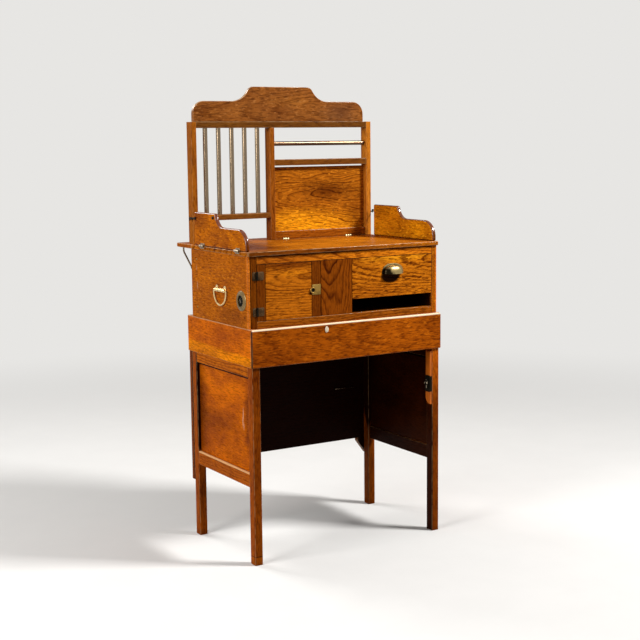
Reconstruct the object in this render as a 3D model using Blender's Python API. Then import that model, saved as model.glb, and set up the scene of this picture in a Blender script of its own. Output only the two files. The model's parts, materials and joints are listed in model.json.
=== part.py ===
"""A small oak teller's desk: a table stand with a till drawer, a portable counter case on it with a cupboard
and a drawer, a counter with folding side galleries, and a railed screen with a fold-down flap.

Metres, +Z up. X runs to the teller's right, Y from the teller's front to the rear, and the origin is on the
floor, at the middle of the desk's outline. Boards are given by their low and high sides, measured across from
the middle, back from the till drawer's face and up from the floor.
"""

import math

import bmesh
import bpy
from mathutils import Matrix, Vector

# Fits
GAP = 0.0003
DOOR_CLEARANCE = 0.0008
DRAWER_CLEARANCE = 0.0007
TILL_CLEARANCE = 0.001
FLAP_CLEARANCE = 0.0008
RING_CLEARANCE = 0.0005

# Table stand
TABLE_WIDTH = 0.728
TABLE_DEPTH = 0.455
TABLE_HEIGHT = 0.759
APRON_HEIGHT = 0.121
TABLE_SIDE = 0.018
TABLE_TOP = 0.012
DUST_BOARD = 0.008
LEG_WIDTH = 0.027
LEG_DEPTH = 0.032
LEG_SIDE_INSET = 0.004
LEG_FRONT_INSET = 0.008
END_RAIL = 0.022
END_TOP_RAIL_HEIGHT = 0.033
END_BOTTOM_RAIL_HEIGHT = 0.046
END_BOTTOM_RAIL_RISE = 0.2505
END_PANEL = 0.008
END_PANEL_RECESS = 0.010
BACK_PANEL = 0.021
BACK_PANEL_RISE = 0.25
EAR_WIDTH = 0.053
EAR_DROP = 0.06
EAR_STEP = 0.012
EAR_FOOT = 0.017

# Till drawer
TILL_FRONT = 0.0087
TILL_FRONT_INSET = 0.0007
TILL_FRONT_ROUND = 0.003
TILL_CORNER_ROUND = 0.008
TILL_WALL = 0.009
TILL_FLOOR = 0.006
TILL_HEADROOM = 0.012
TILL_REAR_SPACE = 0.006

# Counter case
CASE_SETBACK = 0.0227
CASE_DEPTH = 0.393
CASE_HEIGHT = 0.2265
CASE_SIDE = 0.0235
CASE_SIDE_LIP = 0.0095
CASE_CORNER_ROUND = 0.008
CASE_BOTTOM = 0.012
CASE_BACK = 0.012
CASE_FRAME = 0.018
CASE_DIVIDER = 0.012
TOP_RAIL_HEIGHT = 0.0255
BOTTOM_RAIL_HEIGHT = 0.0217
LEFT_STILE_WIDTH = 0.0227
CENTRE_STILE_WIDTH = 0.118

# Cupboard door
DOOR_WIDTH = 0.233
DOOR_HINGE_STILE = 0.0305
DOOR_LOCK_STILE = 0.034
DOOR_KNUCKLE_REACH = 0.0035

# Case drawer
SLOT_HEIGHT = 0.0455
DRAWER_FRONT = 0.018
DRAWER_SHELF = 0.008
DRAWER_FRONT_LAP = 0.0083
DRAWER_WALL = 0.008
DRAWER_FLOOR = 0.006
DRAWER_HEADROOM = 0.006
DRAWER_REAR_SPACE = 0.006
PULL_WIDTH = 0.074
PULL_HEIGHT = 0.033
PULL_REACH = 0.0215
PULL_WALL = 0.0018
PULL_RISE = 0.0705
PULL_FLANGE = 0.0018
PULL_FLANGE_BORDER = 0.0055

# Counter and ledge
COUNTER = 0.014
COUNTER_FRONT_OVERHANG = 0.008
COUNTER_SIDE_OVERHANG = 0.002
COUNTER_CORNER_ROUND = 0.008
LEDGE_BEARING = 0.004
LEDGE_OVERHANG = 0.1066
BRACE_DIAMETER = 0.006
BRACE_SIDE_INSET = 0.008
BRACE_FOOT_DROP = 0.064
BRACE_FOOT_REACH = 0.014
BRACE_HEAD_REACH = 0.0746
BRACE_HEAD_DROP = 0.014
BRACE_BEND = 0.007

# Side galleries and their hooks
GALLERY = 0.014
GALLERY_HEIGHT = 0.1095
GALLERY_LOW_HEIGHT = 0.0672
GALLERY_SIDE_INSET = 0.0023
GALLERY_FRONT_SETBACK = 0.0133
GALLERY_REAR_SPACE = 0.024
GALLERY_TOP_LENGTH = 0.145
GALLERY_STEP_WIDTH = 0.054
GALLERY_NOSE_ROUND = 0.006
GALLERY_FRONT_ROUND = 0.055
GALLERY_KNUCKLE_DIAMETER = 0.009
HOOK = 0.0025
HOOK_DROP = 0.021
HOOK_INSET = 0.010
HOOK_EYE_DIAMETER = 0.011
HOOK_ARM_WIDTH = 0.005
HOOK_REACH = 0.042
HOOK_TIP_DROP = 0.007
HOOK_TIP_WIDTH = 0.004
HOOK_SCREW_DIAMETER = 0.006
HOOK_SCREW_HEIGHT = 0.0015

# Screen
SCREEN_SIDE_INSET = 0.0085
SCREEN_DEPTH = 0.035
SCREEN_HEIGHT = 0.4046
SCREEN_STILE = 0.019
SCREEN_CENTRE_STILE = 0.018
LEFT_BAY_WIDTH = 0.2782
SCREEN_TOP_RAIL = 0.0205
LOWER_RAIL = 0.0185
LOWER_RAIL_RISE = 0.0764
MIDDLE_RAIL = 0.0207
MIDDLE_RAIL_RISE = 0.2549
ROD_COUNT = 5
ROD_DIAMETER = 0.016
ROD_PITCH = 0.0494
CROSS_ROD_DIAMETER = 0.0156
CREST = 0.013
CREST_END_INSET = 0.018
CREST_END_HEIGHT = 0.026
CREST_END_ROUND = 0.043
CREST_TOP_WIDTH = 0.2105
CREST_SWEEP_WIDTH = 0.0837
CREST_SWEEP_HEIGHT = 0.049
CREST_CROWN_ROUND = 0.026

# Flap
FLAP = 0.014
FLAP_SETBACK = 0.019
FLAP_LIFT = 0.0003
FLAP_HEADROOM = 0.0055
BATTEN_HEIGHT = 0.028
BATTEN_DEPTH = 0.009

# Carrying handles
HANDLE_SETBACK = 0.178
HANDLE_RISE = 0.107
STRAP = 0.002
STRAP_WIDTH = 0.072
STRAP_PLATE_HEIGHT = 0.016
STRAP_WRAP = 300
RING_WIDTH = 0.084
RING_DROP = 0.048
RING_CORNER = 0.005
RING_DIAMETER = 0.0055

# Roundness of curves, in steps
ARC_STEPS = 10
ROUND_SIDES = 16
WIRE_RESOLUTION = 2
SMOOTH_ANGLE = math.radians(40)

# Finishes: base colour, roughness, metallic
GOLDEN_OAK = ((0.40, 0.17, 0.035), 0.38, 0.0)
AMBER_OAK = ((0.30, 0.105, 0.022), 0.36, 0.0)
BROWN_OAK = ((0.17, 0.052, 0.013), 0.36, 0.0)
DARK_OAK = ((0.075, 0.022, 0.008), 0.38, 0.0)
PALE_OAK = ((0.42, 0.26, 0.11), 0.55, 0.0)
STEEL = ((0.42, 0.40, 0.37), 0.32, 1.0)
BRASS = ((0.62, 0.44, 0.17), 0.34, 1.0)

# Levels, up from the floor
apron_bottom = TABLE_HEIGHT - APRON_HEIGHT
case_bottom = TABLE_HEIGHT + GAP
case_top = case_bottom + CASE_HEIGHT
counter_bottom = case_top + GAP
counter_top = counter_bottom + COUNTER
screen_bottom = counter_top + GAP
screen_top = screen_bottom + SCREEN_HEIGHT

# Distances back from the till drawer's face
case_front = CASE_SETBACK
case_rear = case_front + CASE_DEPTH
counter_front = case_front - COUNTER_FRONT_OVERHANG
ledge_front = case_rear - LEDGE_BEARING + GAP
ledge_rear = case_rear + LEDGE_OVERHANG
screen_front = ledge_front
screen_rear = screen_front + SCREEN_DEPTH
overall_depth = max(ledge_rear, TABLE_DEPTH)

# Distances across from the middle
table_half = TABLE_WIDTH / 2
counter_half = table_half + COUNTER_SIDE_OVERHANG
screen_half = table_half - SCREEN_SIDE_INSET
SIDES = (("left", -1), ("right", 1))


def clear_scene():
    for thing in list(bpy.data.objects):
        bpy.data.objects.remove(thing)


def desk_position(thing):
    """Where an object's origin lies, in the desk's own measures."""
    total = Vector(thing.location)
    while thing.parent and thing.parent.parent:
        thing = thing.parent
        total += thing.location
    return total


def pivot(name, position, parent):
    """An empty at a place given in the desk's own measures. Moving pieces hang from one on their joint's axis."""
    empty = bpy.data.objects.new(name, None)
    empty.empty_display_size = 0.02
    bpy.context.scene.collection.objects.link(empty)
    empty.parent = parent
    empty.location = Vector(position) - (desk_position(parent) if parent.parent else Vector())
    return empty


def finish(name, look):
    colour, roughness, metallic = look
    material = bpy.data.materials.new(name)
    material.use_nodes = True
    shader = material.node_tree.nodes["Principled BSDF"]
    shader.inputs["Base Color"].default_value = (*colour, 1.0)
    shader.inputs["Roughness"].default_value = roughness
    shader.inputs["Metallic"].default_value = metallic
    return material


def place(name, data, position, look, parent):
    """Links a piece whose data is centred on the position, under its parent, with its own finish."""
    piece = bpy.data.objects.new(name, data)
    bpy.context.scene.collection.objects.link(piece)
    piece.parent = parent
    piece.location = Vector(position) - (desk_position(parent) if parent.parent else Vector())
    data.materials.append(finish(name + "_finish", look))
    return piece


def mesh_of(name, shape):
    bmesh.ops.recalc_face_normals(shape, faces=shape.faces)
    mesh = bpy.data.meshes.new(name)
    shape.to_mesh(mesh)
    shape.free()
    mesh.shade_smooth()
    mesh.set_sharp_from_angle(angle=SMOOTH_ANGLE)
    return mesh


def board(name, across, back, up, look, parent):
    """A plain board between the low and high sides given on each axis."""
    low, high = (Vector(ends) for ends in zip(across, back, up))
    shape = bmesh.new()
    bmesh.ops.create_cube(shape, size=1.0)
    bmesh.ops.scale(shape, verts=shape.verts, vec=high - low)
    return place(name, mesh_of(name, shape), (low + high) / 2, look, parent)


def tray(name, across, back, up, wall, floor, look, parent):
    """A drawer's box: four walls and a floor, open above."""
    low, high = (Vector(ends) for ends in zip(across, back, up))
    size = high - low
    shape = bmesh.new()
    bmesh.ops.create_cube(shape, size=1.0)
    bmesh.ops.scale(shape, verts=shape.verts, vec=size)
    shape.faces.ensure_lookup_table()
    mouth = max(shape.faces, key=lambda face: face.calc_center_median().z)
    bmesh.ops.inset_region(shape, faces=[mouth], thickness=wall)
    bottom = bmesh.ops.extrude_face_region(shape, geom=[mouth])["geom"]
    bmesh.ops.delete(shape, geom=[mouth], context="FACES_ONLY")
    sunk = [part for part in bottom if isinstance(part, bmesh.types.BMVert)]
    bmesh.ops.translate(shape, verts=sunk, vec=(0, 0, floor - size.z))
    return place(name, mesh_of(name, shape), (low + high) / 2, look, parent)


def sheet(name, outline, axis, thickness, position, look, parent):
    """A flat outline, drawn round the position in the two axes that stay, made as thick as given along the third."""
    shape = bmesh.new()
    corners = []
    for first, second in outline:
        corner = [first, second]
        corner.insert(axis, -thickness / 2)
        corners.append(shape.verts.new(corner))
    face = shape.faces.new(corners)
    grown = bmesh.ops.extrude_face_region(shape, geom=[face])["geom"]
    moved = [part for part in grown if isinstance(part, bmesh.types.BMVert)]
    along = [0.0, 0.0, 0.0]
    along[axis] = thickness
    bmesh.ops.translate(shape, verts=moved, vec=along)
    return place(name, mesh_of(name, shape), position, look, parent)


def plan_board(name, outline, up, look, parent):
    """A board drawn from above, in the desk's own measures, between a low and a high level."""
    middle = [(min(along) + max(along)) / 2 for along in zip(*outline)]
    drawn = [(across - middle[0], back - middle[1]) for across, back in outline]
    return sheet(name, drawn, 2, up[1] - up[0], (*middle, (up[0] + up[1]) / 2), look, parent)


def turned_bar(name, start, end, diameter, look, parent):
    """A round bar from one point to another."""
    start, end = Vector(start), Vector(end)
    along = end - start
    shape = bmesh.new()
    bmesh.ops.create_cone(
        shape,
        cap_ends=True,
        segments=ROUND_SIDES,
        radius1=diameter / 2,
        radius2=diameter / 2,
        depth=along.length,
        matrix=along.to_track_quat("Z", "Y").to_matrix().to_4x4(),
    )
    return place(name, mesh_of(name, shape), (start + end) / 2, look, parent)


def wire(name, points, diameter, closed, position, look, parent):
    """A round wire bent along points that are measured from the position."""
    curve = bpy.data.curves.new(name, "CURVE")
    curve.dimensions = "3D"
    curve.bevel_depth = diameter / 2
    curve.bevel_resolution = WIRE_RESOLUTION
    curve.use_fill_caps = not closed
    spline = curve.splines.new("POLY")
    spline.points.add(len(points) - 1)
    for target, point in zip(spline.points, points):
        target.co = (*point, 1.0)
    spline.use_cyclic_u = closed
    spline.use_smooth = True
    return place(name, curve, position, look, parent)


def arc(centre, radius, start, end, steps=ARC_STEPS):
    """Points round a centre from one angle to another, in degrees. A pair of radii gives an ellipse."""
    wide, tall = radius if isinstance(radius, tuple) else (radius, radius)
    points = []
    for step in range(steps + 1):
        angle = math.radians(start + (end - start) * step / steps)
        points.append((centre[0] + wide * math.cos(angle), centre[1] + tall * math.sin(angle)))
    return points


def sweep(start, width, height, crown):
    """A reversed curve that leaves and arrives level: a hollow arc, then a round one whose radius is given."""
    hollow = (width**2 + height**2) / (2 * height) - crown
    turn = math.degrees(2 * math.atan2(height, abs(width)))
    way = math.copysign(1, width)
    points = arc((0, hollow), hollow, -90, -90 + turn)
    points += arc((abs(width), height - crown), crown, 90 + turn, 90)[1:]
    return [(start[0] + way * across, start[1] + up) for across, up in points]


def make_stand(desk):
    """Four legs framed at both ends, a back panel, and the shallow table box that the till drawer slides in."""
    leg_top = apron_bottom - GAP
    leg_outer = table_half - LEG_SIDE_INSET
    panel_front = TABLE_DEPTH - BACK_PANEL
    front_leg = (LEG_FRONT_INSET, LEG_FRONT_INSET + LEG_DEPTH)
    rear_leg = (panel_front - GAP - LEG_DEPTH, panel_front - GAP)
    between_legs = (front_leg[1] + GAP, rear_leg[0] - GAP)
    bottom_rail = (END_BOTTOM_RAIL_RISE, END_BOTTOM_RAIL_RISE + END_BOTTOM_RAIL_HEIGHT)
    top_rail = (leg_top - END_TOP_RAIL_HEIGHT, leg_top)
    for side, way in SIDES:
        def outward(outer, thickness):
            return sorted((way * outer, way * (outer - thickness)))

        for row, back in (("front", front_leg), ("rear", rear_leg)):
            board(f"leg_{row}_{side}", outward(leg_outer, LEG_WIDTH), back, (0, leg_top), AMBER_OAK, desk)
        rail = outward(leg_outer, END_RAIL)
        board(f"end_top_rail_{side}", rail, between_legs, top_rail, AMBER_OAK, desk)
        board(f"end_bottom_rail_{side}", rail, between_legs, bottom_rail, AMBER_OAK, desk)
        board(
            f"end_panel_{side}",
            outward(leg_outer - END_PANEL_RECESS, END_PANEL),
            between_legs,
            (bottom_rail[1] + GAP, top_rail[0] - GAP),
            AMBER_OAK,
            desk,
        )
        board(
            f"table_side_{side}",
            outward(table_half, TABLE_SIDE),
            (TILL_FRONT + GAP, TABLE_DEPTH),
            (apron_bottom, TABLE_HEIGHT),
            BROWN_OAK,
            desk,
        )
    inner_half = table_half - TABLE_SIDE - GAP
    inner = (-inner_half, inner_half)
    top = (TABLE_HEIGHT - TABLE_TOP, TABLE_HEIGHT)
    board("table_top", inner, (TILL_FRONT + GAP, TABLE_DEPTH), top, AMBER_OAK, desk)
    floor = (apron_bottom, apron_bottom + DUST_BOARD)
    board("table_bottom", inner, (TILL_FRONT + GAP, panel_front - GAP), floor, BROWN_OAK, desk)
    make_back_panel(desk, leg_outer, leg_top, inner_half, top[0] - GAP)


def make_back_panel(desk, half, shoulder, upper_half, top):
    """One board, as wide as the legs, with a foot at each lower corner and a narrower head between the table sides."""
    foot = BACK_PANEL_RISE - EAR_DROP
    right_side = [
        (half - EAR_WIDTH, BACK_PANEL_RISE),
        (half - EAR_WIDTH, BACK_PANEL_RISE - EAR_STEP),
        (half - EAR_FOOT, foot),
        (half, foot),
        (half, shoulder),
        (upper_half, shoulder),
        (upper_half, top),
    ]
    outline = right_side + [(-x, z) for x, z in reversed(right_side)]
    position = (0, TABLE_DEPTH - BACK_PANEL / 2, 0)
    sheet("back_panel", outline, 1, BACK_PANEL, position, BROWN_OAK, desk)


def make_till(desk):
    """The wide drawer below the counter, with a lipped front that covers the ends of the table sides."""
    slide = pivot("till_slide", (0, 0, apron_bottom), desk)
    front_half = table_half - TILL_FRONT_INSET
    corner = (front_half - TILL_CORNER_ROUND, APRON_HEIGHT - TILL_CORNER_ROUND)
    right_side = [(front_half, 0)] + arc(corner, TILL_CORNER_ROUND, 0, 90, ARC_STEPS // 2)
    outline = right_side + [(-x, z) for x, z in reversed(right_side)]
    middle = (0, TILL_FRONT / 2, apron_bottom)
    front = sheet("till_front", outline, 1, TILL_FRONT, middle, BROWN_OAK, slide)
    rounding = front.modifiers.new("rounded_edges", "BEVEL")
    rounding.width = TILL_FRONT_ROUND
    rounding.segments = 3
    box_half = table_half - TABLE_SIDE - TILL_CLEARANCE
    floor = apron_bottom + DUST_BOARD + GAP
    tray(
        "till_box",
        (-box_half, box_half),
        (TILL_FRONT + GAP, TABLE_DEPTH - BACK_PANEL - TILL_REAR_SPACE),
        (floor, TABLE_HEIGHT - TABLE_TOP - TILL_HEADROOM),
        TILL_WALL,
        TILL_FLOOR,
        PALE_OAK,
        slide,
    )


# The case front's uprights, from left to right
left_stile_start = -table_half + CASE_SIDE_LIP + GAP
left_stile = (left_stile_start, left_stile_start + LEFT_STILE_WIDTH)
door_across = (left_stile[1] + DOOR_CLEARANCE, left_stile[1] + DOOR_CLEARANCE + DOOR_WIDTH)
centre_stile = (door_across[1] + DOOR_CLEARANCE, door_across[1] + DOOR_CLEARANCE + CENTRE_STILE_WIDTH)
case_inner_right = table_half - CASE_SIDE
bottom_rail_top = case_bottom + BOTTOM_RAIL_HEIGHT
top_rail_bottom = case_top - TOP_RAIL_HEIGHT
drawer_front_bottom = bottom_rail_top + SLOT_HEIGHT
shelf_top = drawer_front_bottom + DRAWER_FRONT_LAP


def case_side_plan(rebated, rebate_back):
    """A right-hand case side from above, its outer front corner rounded, and rebated or not for an upright."""
    inner = table_half - CASE_SIDE
    corner = (table_half - CASE_CORNER_ROUND, case_front + CASE_CORNER_ROUND)
    plan = arc(corner, CASE_CORNER_ROUND, -90, 0) + [(table_half, case_rear), (inner, case_rear)]
    if not rebated:
        return plan + [(inner, case_front)]
    lip = table_half - CASE_SIDE_LIP
    return plan + [(inner, rebate_back), (lip, rebate_back), (lip, case_front)]


def make_case(desk):
    """The box that stands on the table: sides, bottom, back, a divider and a framed front."""
    frame = (case_front, case_front + CASE_FRAME)
    inside = (frame[1] + GAP, case_rear - CASE_BACK - GAP)
    inner_half = table_half - CASE_SIDE - GAP
    inner = (-inner_half, inner_half)
    full_height = (case_bottom, case_top)
    for side, way in SIDES:
        plan = [(way * across, back) for across, back in case_side_plan(side == "left", frame[1] + GAP)]
        plan_board(f"case_side_{side}", plan, full_height, AMBER_OAK, desk)
    back = (case_rear - CASE_BACK, case_rear)
    floor = (case_bottom, case_bottom + CASE_BOTTOM)
    between_rails = (bottom_rail_top + GAP, top_rail_bottom - GAP)
    rails = (left_stile[1] + GAP, inner_half)
    divider = (centre_stile[1] - CASE_DIVIDER, centre_stile[1])
    board("case_bottom", inner, inside, floor, BROWN_OAK, desk)
    board("case_back", inner, back, full_height, BROWN_OAK, desk)
    board("case_divider", divider, inside, (floor[1] + GAP, case_top), BROWN_OAK, desk)
    board("case_top_rail", rails, frame, (top_rail_bottom, case_top), BROWN_OAK, desk)
    board("case_bottom_rail", rails, frame, (case_bottom, bottom_rail_top), BROWN_OAK, desk)
    board("case_left_stile", left_stile, frame, full_height, DARK_OAK, desk)
    board("case_centre_stile", centre_stile, frame, between_rails, DARK_OAK, desk)
    shelf_across = (centre_stile[1] + GAP, case_inner_right - GAP)
    shelf_back = (case_front + max(DRAWER_FRONT, CASE_FRAME) + GAP, inside[1])
    board("drawer_shelf", shelf_across, shelf_back, (shelf_top - DRAWER_SHELF, shelf_top), BROWN_OAK, desk)


def make_door(desk):
    """The cupboard door: a light panel with its grain across, between two dark upright ends."""
    hinge_line = (left_stile[1] + DOOR_CLEARANCE / 2, case_front - DOOR_KNUCKLE_REACH, bottom_rail_top)
    hinge = pivot("door_hinge", hinge_line, desk)
    thickness = (case_front, case_front + CASE_FRAME)
    up = (bottom_rail_top + DOOR_CLEARANCE, top_rail_bottom - DOOR_CLEARANCE)
    hinge_stile = (door_across[0], door_across[0] + DOOR_HINGE_STILE)
    lock_stile = (door_across[1] - DOOR_LOCK_STILE, door_across[1])
    board("door_hinge_stile", hinge_stile, thickness, up, DARK_OAK, hinge)
    board("door_panel", (hinge_stile[1] + GAP, lock_stile[0] - GAP), thickness, up, GOLDEN_OAK, hinge)
    board("door_lock_stile", lock_stile, thickness, up, DARK_OAK, hinge)


def make_drawer(desk):
    """The drawer beside the cupboard, flush with the case front, over an open slot."""
    slide = pivot("drawer_slide", (case_inner_right, case_front, shelf_top), desk)
    across = (centre_stile[1] + DRAWER_CLEARANCE, case_inner_right - DRAWER_CLEARANCE)
    face = (case_front, case_front + DRAWER_FRONT)
    up = (drawer_front_bottom, top_rail_bottom - DRAWER_CLEARANCE)
    board("drawer_front", across, face, up, GOLDEN_OAK, slide)
    tray(
        "drawer_box",
        across,
        (face[1] + GAP, case_rear - CASE_BACK - DRAWER_REAR_SPACE),
        (shelf_top + GAP, top_rail_bottom - DRAWER_HEADROOM),
        DRAWER_WALL,
        DRAWER_FLOOR,
        PALE_OAK,
        slide,
    )
    middle = ((across[0] + across[1]) / 2, case_front - GAP, drawer_front_bottom + PULL_RISE)
    make_pull(middle, slide)


def make_pull(position, slide):
    """A cup pull: a quarter of an egg-shaped shell, open below for the fingers, on a flat half-round flange."""
    outer = (PULL_WIDTH / 2, PULL_REACH, PULL_HEIGHT)
    inner = tuple(size - PULL_WALL for size in outer)
    border = (outer[0] + PULL_FLANGE_BORDER, outer[2] + PULL_FLANGE_BORDER)
    rim = arc((0, 0), border, 0, 360, 4 * ARC_STEPS)[:-1]
    pull = place("drawer_pull", egg("drawer_pull", outer), position, BRASS, slide)
    flange = sheet("drawer_pull_flange", rim, 1, 2 * PULL_FLANGE, position, BRASS, slide)
    combine(pull, flange, "flange", "UNION")
    hollow = place("drawer_pull_hollow", egg("drawer_pull_hollow", inner), position, BRASS, slide)
    combine(pull, hollow, "finger_hollow", "DIFFERENCE")
    x, back, up = position
    quarter = board(
        "drawer_pull_quarter",
        (x - PULL_WIDTH, x + PULL_WIDTH),
        (back - 2 * PULL_REACH, back),
        (up, up + 2 * PULL_HEIGHT),
        BRASS,
        slide,
    )
    combine(pull, quarter, "front_and_upper_quarter", "INTERSECT")


def combine(piece, helper, name, operation):
    """Joins a helper shape to a piece, cuts it away or keeps what it covers. The helper is left out of the model."""
    helper.hide_render = True
    helper.display_type = "WIRE"
    joined = piece.modifiers.new(name, "BOOLEAN")
    joined.operation = operation
    joined.object = helper


def egg(name, radii):
    shape = bmesh.new()
    bmesh.ops.create_uvsphere(shape, u_segments=24, v_segments=12, radius=1.0)
    bmesh.ops.transform(shape, matrix=Matrix.Diagonal((*radii, 1.0)), verts=shape.verts)
    return mesh_of(name, shape)


def make_counter(desk):
    """The counter board on the case, and the ledge behind it on two bent steel braces."""
    across = (-counter_half, counter_half)
    up = (counter_bottom, counter_top)
    corner = (counter_half - COUNTER_CORNER_ROUND, counter_front + COUNTER_CORNER_ROUND)
    right_side = arc(corner, COUNTER_CORNER_ROUND, -90, 0) + [(counter_half, ledge_front - GAP)]
    outline = right_side + [(-x, back) for x, back in reversed(right_side)]
    plan_board("counter_top", outline, up, AMBER_OAK, desk)
    board("ledge", across, (ledge_front, ledge_rear), up, AMBER_OAK, desk)
    head = (BRACE_HEAD_REACH, BRACE_FOOT_DROP - GAP)
    route = [
        (GAP, 0),
        (BRACE_FOOT_REACH, 0),
        (head[0], head[1] - BRACE_HEAD_DROP),
        head,
    ]
    bends = [route[0]] + rounded(route, BRACE_BEND) + [route[-1]]
    points = [(0, back, up) for back, up in bends]
    for side, way in SIDES:
        foot = (way * (table_half - BRACE_SIDE_INSET), case_rear, counter_bottom - BRACE_FOOT_DROP)
        wire(f"brace_{side}", points, BRACE_DIAMETER, False, foot, STEEL, desk)


def rounded(route, setback):
    """The inner corners of a bent route, each eased from a set distance before it to the same distance after it."""
    points = []
    for before, corner, after in zip(route, route[1:], route[2:]):
        corner = Vector(corner)
        come = corner + (Vector(before) - corner).normalized() * setback
        leave = corner + (Vector(after) - corner).normalized() * setback
        for step in range(ARC_STEPS // 2 + 1):
            part = step / (ARC_STEPS // 2)
            points.append(tuple(come.lerp(corner, part).lerp(corner.lerp(leave, part), part)))
    return points


gallery_front = counter_front + GALLERY_FRONT_SETBACK
gallery_rear = screen_front - GALLERY_REAR_SPACE
gallery_bottom = counter_top + GAP
gallery_outer = counter_half - GALLERY_SIDE_INSET


def make_galleries(desk):
    """A shaped board at each end of the counter. It folds outwards on butt hinges, once its hook is lifted."""
    step_height = GALLERY_HEIGHT - GALLERY_LOW_HEIGHT
    step_foot = (gallery_rear - GALLERY_TOP_LENGTH - GALLERY_STEP_WIDTH, GALLERY_LOW_HEIGHT)
    front = GALLERY_FRONT_ROUND
    outline = [(gallery_rear, 0), (gallery_front, 0)]
    outline += arc((gallery_front + front, GALLERY_LOW_HEIGHT - front), front, 180, 90)
    outline += sweep(step_foot, GALLERY_STEP_WIDTH, step_height, GALLERY_NOSE_ROUND)
    outline += [(gallery_rear, GALLERY_HEIGHT)]
    middle = (gallery_front + gallery_rear) / 2
    outline = [(back - middle, up) for back, up in outline]
    for side, way in SIDES:
        hinge_line = (way * (gallery_outer + GALLERY_KNUCKLE_DIAMETER / 2 + GAP), middle, gallery_bottom)
        hinge = pivot(f"gallery_hinge_{side}", hinge_line, desk)
        position = (way * (gallery_outer - GALLERY / 2), middle, gallery_bottom)
        sheet(f"gallery_{side}", outline, 0, GALLERY, position, AMBER_OAK, hinge)
        make_hook(side, way, hinge)


def make_hook(side, way, hinge):
    """A flat steel hook screwed to the gallery's outer face. It drops over a pin on the screen's end upright."""
    place_of_screw = (
        way * (gallery_outer + GAP + HOOK / 2),
        gallery_rear - HOOK_INSET,
        gallery_bottom + GALLERY_HEIGHT - HOOK_DROP,
    )
    screw = pivot(f"hook_screw_{side}", place_of_screw, hinge)
    half = HOOK_ARM_WIDTH / 2
    eye = HOOK_EYE_DIAMETER / 2
    lean = math.degrees(math.asin(half / eye))
    outline = arc((0, 0), eye, lean, 360 - lean, 2 * ARC_STEPS)
    outline += [
        (HOOK_REACH - HOOK_TIP_WIDTH, -half),
        (HOOK_REACH - HOOK_TIP_WIDTH, -half - HOOK_TIP_DROP),
        (HOOK_REACH, -half - HOOK_TIP_DROP),
        (HOOK_REACH, half),
    ]
    hook = sheet(f"hook_{side}", outline, 0, HOOK, place_of_screw, STEEL, screw)
    sunk = HOOK / 4
    outer = way * (HOOK / 2 + HOOK_SCREW_HEIGHT)
    start = Vector(place_of_screw) + Vector((way * sunk, 0, 0))
    end = Vector(place_of_screw) + Vector((outer, 0, 0))
    head = turned_bar(f"hook_screw_head_{side}", start, end, HOOK_SCREW_DIAMETER, STEEL, screw)
    combine(hook, head, "screw_head", "UNION")


def make_screen(desk):
    """Three uprights on the ledge, rails and rods between them, and a shaped crest on top."""
    back = (screen_front, screen_rear)
    middle = (screen_front + screen_rear) / 2
    left_inner = -screen_half + SCREEN_STILE
    right_inner = screen_half - SCREEN_STILE
    centre = (left_inner + LEFT_BAY_WIDTH, left_inner + LEFT_BAY_WIDTH + SCREEN_CENTRE_STILE)
    top_rail = (screen_top - SCREEN_TOP_RAIL, screen_top)
    full = (screen_bottom, screen_top)
    lower_rail = (counter_top + LOWER_RAIL_RISE, counter_top + LOWER_RAIL_RISE + LOWER_RAIL)
    middle_rail = (counter_top + MIDDLE_RAIL_RISE, counter_top + MIDDLE_RAIL_RISE + MIDDLE_RAIL)
    left_bay = (left_inner + GAP, centre[0] - GAP)
    right_bay = (centre[1] + GAP, right_inner - GAP)
    board("screen_stile_left", (-screen_half, left_inner), back, full, AMBER_OAK, desk)
    board("screen_stile_centre", centre, back, (screen_bottom, top_rail[0] - GAP), AMBER_OAK, desk)
    board("screen_stile_right", (right_inner, screen_half), back, full, AMBER_OAK, desk)
    board("screen_top_rail", (left_inner + GAP, right_inner - GAP), back, top_rail, AMBER_OAK, desk)
    board("screen_lower_rail", left_bay, back, lower_rail, AMBER_OAK, desk)
    board("screen_middle_rail", right_bay, back, middle_rail, AMBER_OAK, desk)
    first_rod = (left_bay[0] + left_bay[1] - ROD_PITCH * (ROD_COUNT - 1)) / 2
    for number in range(ROD_COUNT):
        across = first_rod + ROD_PITCH * number
        foot = (across, middle, lower_rail[1] + GAP)
        head = (across, middle, top_rail[0] - GAP)
        turned_bar(f"rod_{number + 1}", foot, head, ROD_DIAMETER, STEEL, desk)
    rod_level = (middle_rail[1] + top_rail[0]) / 2
    start = (right_bay[0], middle, rod_level)
    end = (right_bay[1], middle, rod_level)
    turned_bar("cross_rod", start, end, CROSS_ROD_DIAMETER, STEEL, desk)
    make_crest(desk)
    make_flap(desk, right_bay, middle_rail[0])


def make_crest(desk):
    """The board on top of the screen: rounded ends, level shoulders and a swept rise to a level middle."""
    half = screen_half - CREST_END_INSET
    shoulder = CREST_END_HEIGHT + CREST_END_ROUND
    right_side = [(half, 0)]
    right_side += arc((half - CREST_END_ROUND, CREST_END_HEIGHT), CREST_END_ROUND, 0, 90)
    rise_start = (CREST_TOP_WIDTH / 2 + CREST_SWEEP_WIDTH, shoulder)
    right_side += sweep(rise_start, -CREST_SWEEP_WIDTH, CREST_SWEEP_HEIGHT, CREST_CROWN_ROUND)
    outline = right_side + [(-x, z) for x, z in reversed(right_side)]
    position = (0, screen_rear - CREST / 2, screen_top + GAP)
    sheet("crest", outline, 1, CREST, position, BROWN_OAK, desk)


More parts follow.
